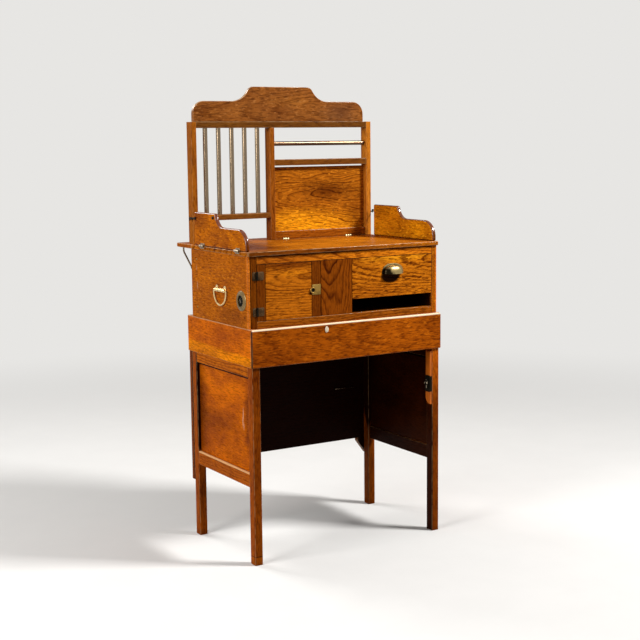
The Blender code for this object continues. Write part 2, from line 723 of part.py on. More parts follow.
def make_flap(desk, bay, rail_bottom):
    """The panel that shuts the right bay. It folds forward about its batten's lower edge and lies on the counter."""
    across = (bay[0] + FLAP_CLEARANCE, bay[1] - FLAP_CLEARANCE)
    front = screen_front + FLAP_SETBACK
    bottom = screen_bottom + FLAP_LIFT
    hinge = pivot("flap_hinge", (across[0], front - GAP - BATTEN_DEPTH, bottom), desk)
    board("flap_panel", across, (front, front + FLAP), (bottom, rail_bottom - FLAP_HEADROOM), GOLDEN_OAK, hinge)
    batten = (front - GAP - BATTEN_DEPTH, front - GAP)
    board("flap_batten", across, batten, (bottom, bottom + BATTEN_HEIGHT), GOLDEN_OAK, hinge)


def make_handles(desk):
    """On each side of the case, a folded brass strap that holds a hanging ring."""
    bore = RING_DIAMETER / 2 + RING_CLEARANCE
    roll = bore + STRAP
    wrap_end = 180 + STRAP_WRAP
    profile = [(0, STRAP_PLATE_HEIGHT)]
    profile += arc((roll, 0), roll, 180, wrap_end, 2 * ARC_STEPS)
    profile += arc((roll, 0), bore, wrap_end, 180, 2 * ARC_STEPS)
    profile += [(STRAP, STRAP_PLATE_HEIGHT)]
    half = RING_WIDTH / 2
    bow = arc((0, -RING_CORNER), (half, RING_DROP - RING_CORNER), 0, -180, 2 * ARC_STEPS)
    loop = arc((half - RING_CORNER, -RING_CORNER), RING_CORNER, 90, 0, ARC_STEPS // 2)[:-1]
    loop += bow
    loop += arc((-half + RING_CORNER, -RING_CORNER), RING_CORNER, 180, 90, ARC_STEPS // 2)[1:]
    ring_points = [(0, back, up) for back, up in loop]
    for side, way in SIDES:
        seat = (way * (table_half + GAP), case_front + HANDLE_SETBACK, case_bottom + HANDLE_RISE)
        make_strap(side, way, profile, seat, desk)
        axis_place = (seat[0] + way * roll, seat[1], seat[2])
        hinge = pivot(f"handle_hinge_{side}", axis_place, desk)
        wire(f"handle_ring_{side}", ring_points, RING_DIAMETER, True, axis_place, BRASS, hinge)


def make_strap(side, way, profile, seat, desk):
    outline = [(way * out, up) for out, up in profile]
    sheet(f"handle_strap_{side}", outline, 1, STRAP_WIDTH, seat, BRASS, desk)


def main():
    clear_scene()
    desk = bpy.data.objects.new("teller_desk", None)
    bpy.context.scene.collection.objects.link(desk)
    desk.location = (0, -overall_depth / 2, 0)
    for make in (
        make_stand,
        make_till,
        make_case,
        make_door,
        make_drawer,
        make_counter,
        make_galleries,
        make_screen,
        make_handles,
    ):
        make(desk)


main()
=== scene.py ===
"""A small oak teller's desk, dressed in worn shellacked oak, steel, brass and iron, on a plain pale floor.

Metres, +Z up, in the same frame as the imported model. Boards keep their own shape and get eased edges and a
grain that runs through the solid. The hinges, locks, screws, catch and other small hardware are made here.
"""

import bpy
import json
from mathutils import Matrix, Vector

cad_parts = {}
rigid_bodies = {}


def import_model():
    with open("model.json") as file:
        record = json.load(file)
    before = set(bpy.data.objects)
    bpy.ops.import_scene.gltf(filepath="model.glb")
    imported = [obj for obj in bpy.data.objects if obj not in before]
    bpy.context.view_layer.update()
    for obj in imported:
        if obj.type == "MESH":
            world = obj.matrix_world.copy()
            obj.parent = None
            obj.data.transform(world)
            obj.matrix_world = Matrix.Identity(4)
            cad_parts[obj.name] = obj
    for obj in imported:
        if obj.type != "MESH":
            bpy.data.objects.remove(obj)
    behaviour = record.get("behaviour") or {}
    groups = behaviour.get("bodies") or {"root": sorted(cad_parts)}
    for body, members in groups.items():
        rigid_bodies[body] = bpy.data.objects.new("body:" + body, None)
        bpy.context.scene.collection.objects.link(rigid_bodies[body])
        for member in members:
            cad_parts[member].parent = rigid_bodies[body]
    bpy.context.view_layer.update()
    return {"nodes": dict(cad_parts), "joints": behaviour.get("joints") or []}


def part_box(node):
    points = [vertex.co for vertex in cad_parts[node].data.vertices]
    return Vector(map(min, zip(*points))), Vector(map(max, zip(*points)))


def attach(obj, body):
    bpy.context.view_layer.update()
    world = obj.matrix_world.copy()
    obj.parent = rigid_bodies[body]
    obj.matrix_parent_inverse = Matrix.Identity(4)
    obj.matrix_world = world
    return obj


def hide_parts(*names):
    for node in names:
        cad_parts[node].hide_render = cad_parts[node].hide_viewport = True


bl_info = {
    "name": "Teller's desk dressing",
    "version": (1, 0, 0),
    "blender": (4, 5, 0),
    "location": "3D View > Sidebar > Desk",
    "description": "Oak grain, worn edges and hardware for a small teller's desk",
    "category": "Object",
}

import json
import math
from collections import namedtuple

import bmesh
import bpy
from bpy.props import FloatProperty, FloatVectorProperty, PointerProperty
from mathutils import Matrix, Vector

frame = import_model()

X, Y, Z = 0, 1, 2
SIDES = (("left", -1), ("right", 1))
SMOOTH_ANGLE = math.radians(38)

# The gap that keeps a fitting off what it lies against
HAIR = 0.0001
# A mark's radius that reaches past the whole desk
ALL = 9.0

# An egg-shaped patch of another tone in a board, or of painted light or shade. Its stain multiplies the colours
# under it, or covers them.
MARK_PARTS = "centre radii stain strength softness ragged covers"
Mark = namedtuple("Mark", MARK_PARTS, defaults=(0.6, 0.9, 0.8, False))


def colour(name, description, default):
    return FloatVectorProperty(
        name=name, description=description, default=default, subtype="COLOR", size=3, min=0.0, max=1.0
    )


def amount(name, description, default, **kind):
    return FloatProperty(name=name, description=description, default=default, min=0.0, **kind)


def length(name, description, default):
    return amount(name, description, default, unit="LENGTH")


class OakColours(bpy.types.PropertyGroup):
    """The five oak finishes, before each board's own stain, and the wood at worn edges."""

    golden_oak: colour("Golden oak", "Drawer front, door panel and flap", (0.42, 0.100, 0.0045))
    amber_oak: colour("Amber oak", "End frames, case sides, counter and screen", (0.40, 0.090, 0.0035))
    brown_oak: colour("Brown oak", "Crest, case rails, table sides and till front", (0.30, 0.060, 0.0035))
    dark_oak: colour("Dark oak", "Uprights of the case front and of the door", (0.16, 0.029, 0.0018))
    pale_oak: colour("Pale oak", "Drawer boxes", (0.50, 0.30, 0.12))
    worn_edge: colour("Worn edge", "Where the shellac has rubbed off the arrises", (0.62, 0.36, 0.16))


class MetalColours(bpy.types.PropertyGroup):
    """Metals and bone."""

    steel: colour("Steel", "Rods, stays, levers and the galleries' hinges", (0.27, 0.20, 0.13))
    brass: colour("Brass", "Cup pull, door lock and screws", (0.58, 0.46, 0.25))
    iron: colour("Iron", "Door hinges, hooks, catch and screw eyes", (0.055, 0.047, 0.032))
    bone: colour("Bone", "Keyhole drop on the till drawer", (0.80, 0.70, 0.52))


class EdgeSizes(bpy.types.PropertyGroup):
    """How far each kind of board is rounded along its edges."""

    board: length("Boards", "Rounding of plain boards", 0.0012)
    leg: length("Legs", "Rounding of the legs and the table's sides", 0.0020)
    counter: length("Counter", "Rounding of the counter and the ledge", 0.0030)
    gallery: length("Galleries", "Rounding of the galleries' shaped edges", 0.0048)
    crest: length("Crest", "Rounding of the crest's shaped edge", 0.0022)
    metal: length("Metal", "Rounding of the hooks", 0.0006)


class HardwareSizes(bpy.types.PropertyGroup):
    """Sizes of the hinges, locks and screws."""

    door_leaf_height: length("Door hinge height", "Height of the door hinges' leaves", 0.027)
    door_case_leaf: length("Door hinge, case leaf", "Width of the leaf on the case", 0.0155)
    door_door_leaf: length("Door hinge, door leaf", "Width of the leaf on the door", 0.0255)
    door_knuckle: length("Door hinge knuckle", "Radius of the door hinges' knuckle", 0.0030)
    gallery_leaf_length: length("Gallery hinge length", "Length of the galleries' hinges", 0.028)
    gallery_knuckle: length("Gallery hinge knuckle", "Radius of the galleries' hinge knuckle", 0.0045)
    flap_leaf_width: length("Flap hinge width", "Width of the flap's hinges", 0.024)
    flap_leaf_depth: length("Flap hinge depth", "Reach of the leaf on the counter", 0.016)
    lock_rose: length("Door lock rose", "Radius of the door's keyhole rose", 0.0102)
    side_rose: length("Side lock rose", "Radius of the lock on the case's side", 0.032)
    drop_height: length("Keyhole drop", "Height of the bone keyhole drop", 0.0205)
    screw: length("Screw head", "Radius of a usual screw head", 0.0034)


class StageSettings(bpy.types.PropertyGroup):
    """Floor, light and camera."""

    floor: colour("Floor", "Colour of the floor", (0.79, 0.775, 0.75))
    background: colour("Background", "Colour far behind the desk", (0.80, 0.79, 0.77))
    key: amount("Key light", "Power of the soft light at the front right", 256.0, unit="POWER")
    side: amount("Side light", "Power of the soft light at the left", 90.0, unit="POWER")
    back: amount("Back light", "Power of the soft light behind on the left", 60.0, unit="POWER")
    bounce: amount("Bounce", "Share of the floor's colour that lights the desk", 0.5, subtype="FACTOR", max=1.0)
    ambient: amount("Ambient light", "Light from all round", 0.08)
    camera_place: FloatVectorProperty(
        name="Camera",
        description="Where the camera stands",
        default=(-2.2605, -3.7797, 1.3424),
        subtype="XYZ",
        unit="LENGTH",
    )
    camera_turn: FloatVectorProperty(
        name="Camera turn",
        description="How the camera is turned",
        default=(math.radians(82.1222), math.radians(0.5897), math.radians(-31.4428)),
        subtype="EULER",
        unit="ROTATION",
    )
    lens: amount("Lens", "Focal length in millimetres", 73.334, unit="CAMERA")


class Socket:
    """A node's output that Python arithmetic works on. Each sum adds a Math node."""

    def __init__(self, recipe, link):
        self.recipe = recipe
        self.link = link

    def maths(self, operation, first, second=0.0):
        return self.recipe.node("ShaderNodeMath", {"operation": operation}, {0: first, 1: second})

    def __add__(self, other):
        return self.maths("ADD", self, other)

    def __sub__(self, other):
        return self.maths("SUBTRACT", self, other)

    def __rsub__(self, other):
        return self.maths("SUBTRACT", other, self)

    def __mul__(self, other):
        return self.maths("MULTIPLY", self, other)

    def __pow__(self, other):
        return self.maths("POWER", self, other)

    __radd__ = __add__
    __rmul__ = __mul__


class Recipe:
    """The node tree of one finish, or of the world. Its node method adds any node."""

    def __init__(self, owner):
        self.owner = owner
        self.tree = owner.node_tree
        if "Principled BSDF" in self.tree.nodes:
            self.shader = self.tree.nodes["Principled BSDF"]
            self.place, self.facing = self.node("ShaderNodeTexCoord", output=("Object", "Normal"))

    def node(self, kind, settings=None, inputs=None, output=0):
        """Adds a node: first its settings, then its sockets' values or links. Gives one output or several."""
        made = self.tree.nodes.new(kind)
        for name, value in (settings or {}).items():
            if name == "stops":
                self.set_stops(made.color_ramp, value)
            else:
                setattr(made, name, value)
        self.feed(made, inputs or {})
        if isinstance(output, tuple):
            return [Socket(self, made.outputs[each]) for each in output]
        return Socket(self, made.outputs[output])

    def set_stops(self, ramp, stops):
        while len(ramp.elements) < len(stops):
            ramp.elements.new(0.5)
        for element, (position, level) in zip(ramp.elements, stops):
            element.position = position
            element.color = (level, level, level, 1.0)

    def feed(self, made, inputs):
        for name, value in inputs.items():
            target = made.inputs[name]
            if isinstance(value, Socket):
                self.tree.links.new(value.link, target)
            elif target.type == "RGBA":
                target.default_value = (*value[:3], 1.0)
            else:
                target.default_value = value

    def vector(self, operation, *values, output=0):
        """Vector maths on one to three values."""
        return self.node("ShaderNodeVectorMath", {"operation": operation}, dict(enumerate(values)), output)

    def blend(self, share, first, second, kind="MIX"):
        """A colour between two others."""
        settings = {"data_type": "RGBA", "blend_type": kind, "clamp_factor": True}
        return self.node("ShaderNodeMix", settings, {0: share, 6: first, 7: second}, 2)

    def tint(self, share, first, factor):
        """A colour multiplied by another, part of the way."""
        return self.blend(share, first, factor, "MULTIPLY")

    def fade(self, value, low, high):
        """0 at low and before, 1 at high and after, eased between them."""
        inputs = {"Value": value, "From Min": low, "From Max": high}
        return self.node("ShaderNodeMapRange", {"interpolation_type": "SMOOTHSTEP"}, inputs)

    def cloud(self, scale, seed, detail=2.0, roughness=0.5):
        """Soft noise at a scale given for each axis, in waves a metre."""
        where = self.vector("MULTIPLY_ADD", self.place, scale, (seed, 2.3 * seed, 5.1 * seed))
        inputs = {"Vector": where, "Scale": 1.0, "Detail": detail, "Roughness": roughness}
        return self.node("ShaderNodeTexNoise", {}, inputs, "Fac")

    def axes(self, vector):
        return self.node("ShaderNodeSeparateXYZ", {}, {0: vector}, (0, 1, 2))

    def arris(self):
        """1 where the surface turns between two flat faces, 0 on the faces."""
        still_flat, well_turned = 0.992, 0.90
        flat = self.axes(self.vector("ABSOLUTE", self.facing))
        largest = flat[0].maths("MAXIMUM", flat[0].maths("MAXIMUM", flat[0], flat[1]), flat[2])
        return self.fade(largest, still_flat, well_turned)

    def mark(self, mark, ragged):
        """1 in the middle of an egg-shaped patch, 0 outside it."""
        away = self.vector("DIVIDE", self.vector("SUBTRACT", self.place, mark.centre), mark.radii)
        away = self.vector("LENGTH", away, output="Value") + ragged * mark.ragged
        return self.fade(away, 1.0, 1.0 - mark.softness) * mark.strength

    def finish(self, base, roughness, height=None, depth=0.0005, metallic=0.0, gloss=0.5, coat=0.0):
        """Feeds the shader and gives the material. The height, where there is one, becomes a bump."""
        inputs = {"Base Color": base, "Roughness": roughness, "Metallic": metallic}
        inputs.update({"Specular IOR Level": gloss, "Coat Weight": coat, "Coat Roughness": 0.14})
        if height is not None:
            bump = {"Strength": 0.6, "Distance": depth, "Height": height}
            inputs["Normal"] = self.node("ShaderNodeBump", {}, bump)
        self.feed(self.shader, inputs)
        return self.owner

    def seen_or_mirrored(self):
        """1 for what the camera sees, straight, mirrored or through glass, and 0 for what lights the desk."""
        ways = ("Is Camera Ray", "Is Glossy Ray", "Is Transmission Ray")
        straight, mirrored, through = self.node("ShaderNodeLightPath", output=ways)
        return straight.maths("MAXIMUM", straight.maths("MAXIMUM", straight, mirrored), through)


def new_finish(name):
    """An empty recipe for a new material."""
    material = bpy.data.materials.new(name)
    material.use_nodes = True
    return Recipe(material)


def stained(tone, stain):
    """A colour with each of its parts multiplied by a number or by the parts of another colour."""
    stain = stain if isinstance(stain, tuple) else (stain,) * 3
    return tuple(min(1.0, part * factor) for part, factor in zip(tone, stain))


def stretched(along, lengthwise, crosswise):
    """A noise scale drawn out along the grain."""
    scale = [crosswise] * 3
    scale[along] = lengthwise
    return tuple(scale)


# How dark a growth ring is, from the spring wood to the end of the year
RING_STOPS = ((0.0, 0.02), (0.48, 0.08), (0.70, 0.45), (0.85, 1.0), (0.92, 0.75), (1.0, 0.02))


def oak(
    node,
    finish,
    stain=1.0,
    along=None,
    heart=(0.31, 0.06),
    taper=0.03,
    rings=100.0,
    lines=0.55,
    waver=0.03,
    ticks=0.35,
    mottle=0.22,
    flecks=0.2,
    wear=0.5,
    rub=None,
    gloss=0.018,
    shine=0.12,
    marks=(),
):
    """Shellacked oak for one board.

    Growth rings lie round a heart that is given across and through the board, from its middle, and leans by
    the taper, so that a near heart draws arches and a far one draws straight lines.
    """
    colours = bpy.context.scene.desk_oak
    tone = stained(getattr(colours, finish), stain)
    low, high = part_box(node)
    middle = (low + high) / 2
    size = high - low
    by_size = sorted((X, Y, Z), key=lambda axis: size[axis])
    along = by_size[2] if along is None else along
    through, across = (axis for axis in by_size if axis != along)
    seed = sum(ord(letter) * place for place, letter in enumerate(node, 1)) % 97 * 0.37
    make = new_finish(f"{node}_oak")
    place = make.axes(make.place)

    def streaks(lengthwise, crosswise, shift, detail=2.0, roughness=0.5):
        return make.cloud(stretched(along, lengthwise, crosswise), seed + shift, detail, roughness)

    drift = streaks(2.6, 8.0, 0.0) - 0.5
    sway = streaks(3.4, 6.0, 7.0) - 0.5
    ripple = streaks(16.0, 60.0, 3.0, 4.0, 0.62) - 0.5
    out = place[across] - (middle[across] + heart[0]) + drift * (2 * waver)
    lean = (place[along] - middle[along]) * taper
    deep = place[through] - (middle[through] + heart[1]) + lean + sway * waver
    turns = (out * out + deep * deep) ** 0.5 * rings + ripple * 0.5
    saw = turns.maths("FRACT", turns)
    year = turns.maths("FLOOR", turns)
    growth = make.node("ShaderNodeTexWhiteNoise", {"noise_dimensions": "1D"}, {"W": year}, "Value")
    ring = make.node("ShaderNodeValToRGB", {"stops": RING_STOPS}, {"Fac": saw}) * (growth * 0.75 + 0.35)
    patches = streaks(5.0, 14.0, 11.0, 4.0, 0.62)
    ring = ring * (make.fade(patches, 0.28, 0.66) * 0.5 + 0.5)
    pores = make.fade(streaks(55.0, 350.0, 17.0), 0.50, 0.66)
    tick = make.fade(streaks(42.0, 250.0, 19.0, 3.0), 0.50, 0.66)
    fleck = make.fade(streaks(60.0, 170.0, 23.0, 1.0), 0.58, 0.74)
    clouded = make.fade(streaks(7.0, 15.0, 29.0, 5.0, 0.68), 0.30, 0.70)
    shaded = stained(tone, (1 - mottle, 1 - 1.2 * mottle, 1 - mottle))
    lighter = stained(tone, (1 + mottle, 1 + 1.5 * mottle, 1 + mottle))
    pale, deep_brown = stained(tone, (1.50, 2.05, 3.6)), stained(tone, (0.20, 0.13, 0.10))
    base = make.blend(clouded, shaded, lighter)
    base = make.blend((1.0 - ring) * (0.6 * lines), base, pale)
    base = make.blend(ring * lines, base, deep_brown)
    base = make.blend(tick * ticks, base, deep_brown)
    base = make.blend(pores * (ring * 0.30 + 0.36), base, deep_brown)
    base = make.blend(fleck * flecks, base, stained(tone, (1.9, 2.7, 5.0)))
    for mark in marks:
        lay = make.blend if mark.covers else make.tint
        base = lay(make.mark(mark, patches - 0.5), base, mark.stain)
    arris = make.arris()
    # The arrises take the worn edge colour in patches; where a dark tone is given for them instead, it is
    # painted shade.
    rubbed = arris * make.fade(make.cloud((38.0, 38.0, 38.0), seed + 31.0, 3.0), 0.30, 0.62) * wear
    base = make.blend(rubbed, base, rub or tuple(colours.worn_edge))
    rough = pores * 0.14 + clouded * 0.12 + tick * 0.10 + 0.30
    height = 1.0 - ring * (0.30 * lines) - pores * 0.5 - tick * 0.3
    return make.finish(base, rough, height, gloss=gloss, coat=arris * shine)


def metal(name, tint, tarnish, dull, scratches, spots, pitting=0.5, marks=()):
    """Aged metal: a clean tone that turns to tarnish in clouds and to given marks, with fine scratches."""
    make = new_finish(name)
    clouds = make.fade(make.cloud((46.0, 46.0, 46.0), 3.0, 4.0, 0.6), 0.36, 0.70)
    scratched = make.cloud(scratches, 9.0, 3.0, 0.7)
    pits = make.fade(make.cloud((420.0, 420.0, 420.0), 5.0, 2.0), 0.62, 0.74)
    base = make.blend(clouds * spots, tint, tarnish)
    base = make.blend(pits * pitting, base, stained(tarnish, 0.5))
    for mark in marks:
        base = make.blend(make.mark(mark, clouds - 0.5), base, mark.stain)
    rough = clouds * (0.36 * spots) + scratched * 0.16 + pits * (0.4 * pitting) + (dull - 0.10)
    height = scratched * 0.5 - pits * (1.2 * pitting)
    return make.finish(base, rough, height, 0.00012, metallic=1.0)


def bone_finish():
    """Yellowed bone with fine lines, for the keyhole drop."""
    make = new_finish("bone_drop")
    tint = tuple(bpy.context.scene.desk_metal.bone)
    lines = make.fade(make.cloud((900.0, 900.0, 60.0), 4.0, 2.0), 0.48, 0.72)
    stain = make.fade(make.cloud((160.0, 160.0, 160.0), 6.0, 3.0), 0.45, 0.75)
    base = make.blend(lines * 0.35, tint, stained(tint, (0.86, 0.78, 0.62)))
    base = make.blend(stain * 0.4, base, stained(tint, (0.80, 0.66, 0.45)))
    return make.finish(base, stain * 0.12 + 0.28, 1.0 - lines * 0.5, 0.0002, coat=0.2)


# Scratches, in waves a metre
LONG, BROAD = (160.0, 160.0, 8.0), (9.0, 9.0, 9.0)
COARSE, FINE, FINER = (120.0, 120.0, 120.0), (140.0, 140.0, 140.0), (160.0, 160.0, 160.0)

# Finishes that several fittings share. The clean tone and the tarnish are each a metal and its stain, or a
# colour of their own. Then come how dull it is, its scratches, its clouds of tarnish and its pits.
SHARED_METALS = {
    "brushed_steel": ("steel", 1.0, "steel", (0.55, 0.48, 0.40), 0.19, LONG, 0.3, 0.04),
    "dark_steel": ("steel", (0.46, 0.37, 0.34), "steel", 0.3, 0.24, BROAD, 0.05, 0.0),
    "bright_steel": ("steel", (1.2, 1.28, 1.35), "steel", (0.4, 0.42, 0.45), 0.32, COARSE, 0.6, 0.5),
    "pale_brass": (None, (0.46, 0.38, 0.22), None, (0.24, 0.19, 0.10), 0.40, FINE, 0.3, 0.5),
    "bright_brass": (None, (0.82, 0.62, 0.30), "brass", (0.50, 0.42, 0.30), 0.28, FINE, 0.35, 0.5),
    "old_brass": ("brass", 1.0, "brass", (0.42, 0.36, 0.26), 0.30, FINE, 0.55, 0.5),
    "tarnished_brass": ("brass", (0.58, 0.43, 0.18), "brass", (0.20, 0.15, 0.08), 0.38, FINE, 0.7, 0.5),
    "grey_brass": (None, (0.27, 0.18, 0.075), None, (0.08, 0.052, 0.022), 0.26, FINE, 0.6, 0.5),
    # A near-black iron for the hooks, studs, pins, catch, lock cores and door hinge knuckles; in the door's
    # keyhole its darkness is painted shade for the depth of the hole.
    "sooty_iron": ("iron", 0.28, "iron", 0.15, 0.55, FINER, 0.6, 0.5),
    "black_iron": ("iron", (1.8, 1.1, 0.7), "iron", (0.5, 0.35, 0.25), 0.46, FINER, 0.8, 0.5),
}


def shared_metal(name):
    """One of the finishes that several fittings share, made the first time that it is asked for."""
    known = bpy.data.materials.get(name)
    if known:
        return known
    tints = bpy.context.scene.desk_metal
    clean, stain, old, tarnish, *rest = SHARED_METALS[name]
    pairs = ((clean, stain), (old, tarnish))
    tones = [stained(getattr(tints, kind), tone) if kind else tone for kind, tone in pairs]
    return metal(name, *tones, *rest)


def even_shading():
    """A modifier group that shades smoothly, except over edges that turn sharply."""
    known = bpy.data.node_groups.get("even_shading")
    if known:
        return known
    group = bpy.data.node_groups.new("even_shading", "GeometryNodeTree")
    for way in ("INPUT", "OUTPUT"):
        group.interface.new_socket("Geometry", in_out=way, socket_type="NodeSocketGeometry")
    start = group.nodes.new("NodeGroupInput")
    normals = group.nodes.new("GeometryNodeSetMeshNormal")
    normals.inputs["Remove Custom"].default_value = True
    turn = group.nodes.new("GeometryNodeInputMeshEdgeAngle")
    sharp = group.nodes.new("FunctionNodeCompare")
    sharp.operation = "GREATER_THAN"
    sharp.inputs["B"].default_value = SMOOTH_ANGLE
    end = group.nodes.new("NodeGroupOutput")
    group.links.new(turn.outputs["Unsigned Angle"], sharp.inputs["A"])
    group.links.new(sharp.outputs["Result"], normals.inputs["Edge Sharpness"])
    group.links.new(start.outputs[0], normals.inputs["Mesh"])
    group.links.new(normals.outputs["Mesh"], end.inputs[0])
    return group


def dress(node, material, edge=0.0, segments=3):
    """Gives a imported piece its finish, and eases its edges with modifiers. Its own mesh stays as it is."""
    piece = frame["nodes"][node]
    piece.material_slots[0].material = material
    weld = piece.modifiers.new("join_corners", "WELD")
    weld.merge_threshold = 1e-5
    if edge:
        flat = piece.modifiers.new("join_flat_faces", "DECIMATE")
        flat.decimate_type = "DISSOLVE"
        flat.angle_limit = math.radians(0.5)
        flat.delimit = set()
        ease = piece.modifiers.new("eased_edges", "BEVEL")
        ease.width = edge
        ease.segments = segments
        ease.limit_method = "ANGLE"
        ease.angle_limit = SMOOTH_ANGLE
    shading = piece.modifiers.new("even_shading", "NODES")
    shading.node_group = even_shading()
    if edge:
        weighted = piece.modifiers.new("flat_faces", "WEIGHTED_NORMAL")
        weighted.keep_sharp = True


def dress_oak(node, edge, finish, stain, segments=3, **grain):
    """Gives a packed board its oak."""
    dress(node, oak(node, finish, stain, **grain), edge, segments)


def outer_face(node, way):
    """Where a piece's left face lies across the desk, or its right one."""
    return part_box(node)[0 if way < 0 else 1].x


def joint_place(name):
    """A point on a joint's axis."""
    return next(joint for joint in frame["joints"] if joint["name"] == name)["pos_m"]


def facing(origin, right, up):
    """A place on a surface: X runs right and Y up along it, and Z stands out from it."""
    right, up = Vector(right), Vector(up)
    turn = Matrix((right, up, right.cross(up))).transposed().to_4x4()
    return Matrix.Translation(origin) @ turn


def on_front(x, y, z):
    return facing((x, y, z), (1, 0, 0), (0, 0, 1))


def on_side(way, x, y, z):
    return facing((x, y, z), (0, way, 0), (0, 0, 1))


def on_top(x, y, z):
    return facing((x, y, z), (1, 0, 0), (0, 1, 0))


def on_back(x, y, z):
    return facing((x, y, z), (-1, 0, 0), (0, 0, 1))


def add(shape, part, matrix):
    """Puts a part, drawn in its own measures, into a larger shape."""
    bmesh.ops.recalc_face_normals(part, faces=part.faces)
    bmesh.ops.transform(part, matrix=matrix, verts=part.verts)
    carrier = bpy.data.meshes.new("carrier")
    part.to_mesh(carrier)
    part.free()
    shape.from_mesh(carrier)
    bpy.data.meshes.remove(carrier)


def skin(part, rows, joined=False):
    """Faces between neighbouring rows of points. A row may be one point, and joined rows run right round."""
    for first, second in zip(rows, rows[1:]):
        count = max(len(first), len(second))
        for step in range(count if joined else count - 1):
            after = (step + 1) % count
            corners = [first[step % len(first)], first[after % len(first)]]
            corners += [second[after % len(second)], second[step % len(second)]]
            unlike = list(dict.fromkeys(corners))
            if len(unlike) > 2:
                part.faces.new(unlike)


def round_turns(steps):
    """Angles right round, in even steps."""
    return [2 * math.pi * step / steps for step in range(steps)]


def lathe(profile, steps=32, closed=False):
    """A profile of (radius, height) turned about Z. A closed profile makes a ring."""
    part = bmesh.new()
    rows = []
    for radius, height in profile:
        points = [(radius * math.cos(turn), radius * math.sin(turn), height) for turn in round_turns(steps)]
        if radius < 1e-7:
            points = [(0, 0, height)]
        rows.append([part.verts.new(point) for point in points])
    skin(part, rows + rows[:1] if closed else rows, True)
    if not closed:
        for row in (rows[0], rows[-1]):
            if len(row) > 1:
                part.faces.new(row)
    return part


def push(part, faces, height):
    """Pushes faces of a part along Z, with walls behind them."""
    grown = bmesh.ops.extrude_face_region(part, geom=faces)["geom"]
    corners = [each for each in grown if isinstance(each, bmesh.types.BMVert)]
    bmesh.ops.translate(part, verts=corners, vec=(0, 0, height))


def plate(outline, thickness, ease=0.0004, segments=2):
    """A flat outline made as thick as given, with its outer edges eased."""
    part = bmesh.new()
    push(part, [part.faces.new([part.verts.new((x, y, 0)) for x, y in outline])], thickness)
    bmesh.ops.recalc_face_normals(part, faces=part.faces)
    if ease:
        rim = [edge for edge in part.edges if all(vert.co.z > thickness / 2 for vert in edge.verts)]
        bmesh.ops.bevel(part, geom=rim, offset=ease, segments=segments, profile=0.5, affect="EDGES")
    return part


def clipped(left, right, low, high, clip):
    """A rectangle with its corners cut off."""
    return [
        (left + clip, low),
        (right - clip, low),
        (right, low + clip),
        (right, high - clip),
        (right - clip, high),
        (left + clip, high),
        (left, high - clip),
        (left, low + clip),
    ]


def barrel(radius, start, end, steps=20):
    """A short round bar along Z with eased ends."""
    ease = radius * 0.18
    profile = [(0, start), (radius - ease, start), (radius, start + ease)]
    profile += [(radius, end - ease), (radius - ease, end), (0, end)]
    return lathe(profile, steps)


def screw(radius, turn=20.0):
    """A domed screw head with a slot."""
    dome = ((1.0, 0.0), (0.96, 0.16), (0.74, 0.34), (0.4, 0.44), (0.0, 0.47))
    part = lathe([(radius * out, radius * up) for out, up in dome], 24)
    half = radius * 0.14
    for way in (-1, 1):
        everything = list(part.verts) + list(part.edges) + list(part.faces)
        bmesh.ops.bisect_plane(part, geom=everything, plane_co=(way * half, 0, 0), plane_no=(1, 0, 0))
    part.faces.ensure_lookup_table()
    middles = [(face, face.calc_center_median()) for face in part.faces]
    slot = [face for face, middle in middles if abs(middle.x) < half * 0.98 and middle.z > 1e-6]
    push(part, slot, -radius * 0.22)
    bmesh.ops.delete(part, geom=slot, context="FACES_ONLY")
    bmesh.ops.rotate(part, verts=part.verts, matrix=Matrix.Rotation(math.radians(turn), 3, "Z"))
    return part


def tube(points, radius, sides=12):
    """A round wire along points, with domed ends."""
    points = [Vector(point) for point in points]
    part = bmesh.new()
    side = Vector((0.31, 0.57, 0.76))
    rows = []
    for index, point in enumerate(points):
        along = (points[min(index + 1, len(points) - 1)] - points[max(index - 1, 0)]).normalized()
        side = (side - along * side.dot(along)).normalized()
        other = along.cross(side)
        ways = [side * math.cos(turn) + other * math.sin(turn) for turn in round_turns(sides)]
        rows.append([part.verts.new(point + way * radius) for way in ways])
    skin(part, rows, True)
    for row, way in ((rows[0], points[0] - points[1]), (rows[-1], points[-1] - points[-2])):
        middle = sum((vert.co for vert in row), Vector()) / sides
        skin(part, [row, [part.verts.new(middle + way.normalized() * radius * 0.6)]], True)
    return part


def arc_points(centre, radius, start, end, steps, first=(1, 0, 0), second=(0, 0, 1)):
    """Points round a centre, from one angle to another in degrees, in the plane of two directions."""
    centre, first, second = Vector(centre), Vector(first), Vector(second)
    turns = [math.radians(start + (end - start) * step / steps) for step in range(steps + 1)]
    return [centre + (first * math.cos(turn) + second * math.sin(turn)) * radius for turn in turns]


def make_piece(name, parts, finish, body):
    """Joins parts, each with its place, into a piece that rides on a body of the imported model.

    The finish is a material or the name of a shared metal.
    """
    shape = bmesh.new()
    for part, place in parts:
        add(shape, part, place)
    mesh = bpy.data.meshes.new(name)
    shape.to_mesh(mesh)
    shape.free()
    mesh.materials.append(shared_metal(finish) if isinstance(finish, str) else finish)
    mesh.shade_smooth()
    mesh.set_sharp_from_angle(angle=SMOOTH_ANGLE)
    piece = bpy.data.objects.new(name, mesh)
    bpy.context.scene.collection.objects.link(piece)
    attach(piece, body)
    return piece


# Dark arrises on the boards of the case front, neither pale nor shiny: painted shade for the shadow in the
# joints between them
SHADED_JOINTS = {"wear": 1.8, "rub": (0.022, 0.006, 0.0012), "shine": 0.0}

# Pale scrapes in the left end panel: place along it, height, half width, half length
SCRAPES = (
    (-0.1690, 0.478, 0.0030, 0.028),
    (-0.1655, 0.452, 0.0028, 0.028),
    (-0.1720, 0.438, 0.0026, 0.018),
)


def front_marks(face, depth, rows):
    """Marks on a board's front. A row gives the place across and up, the radii and the rest of a mark."""
    return [Mark((x, face, z), (wide, depth, high), *rest) for x, z, wide, high, *rest in rows]


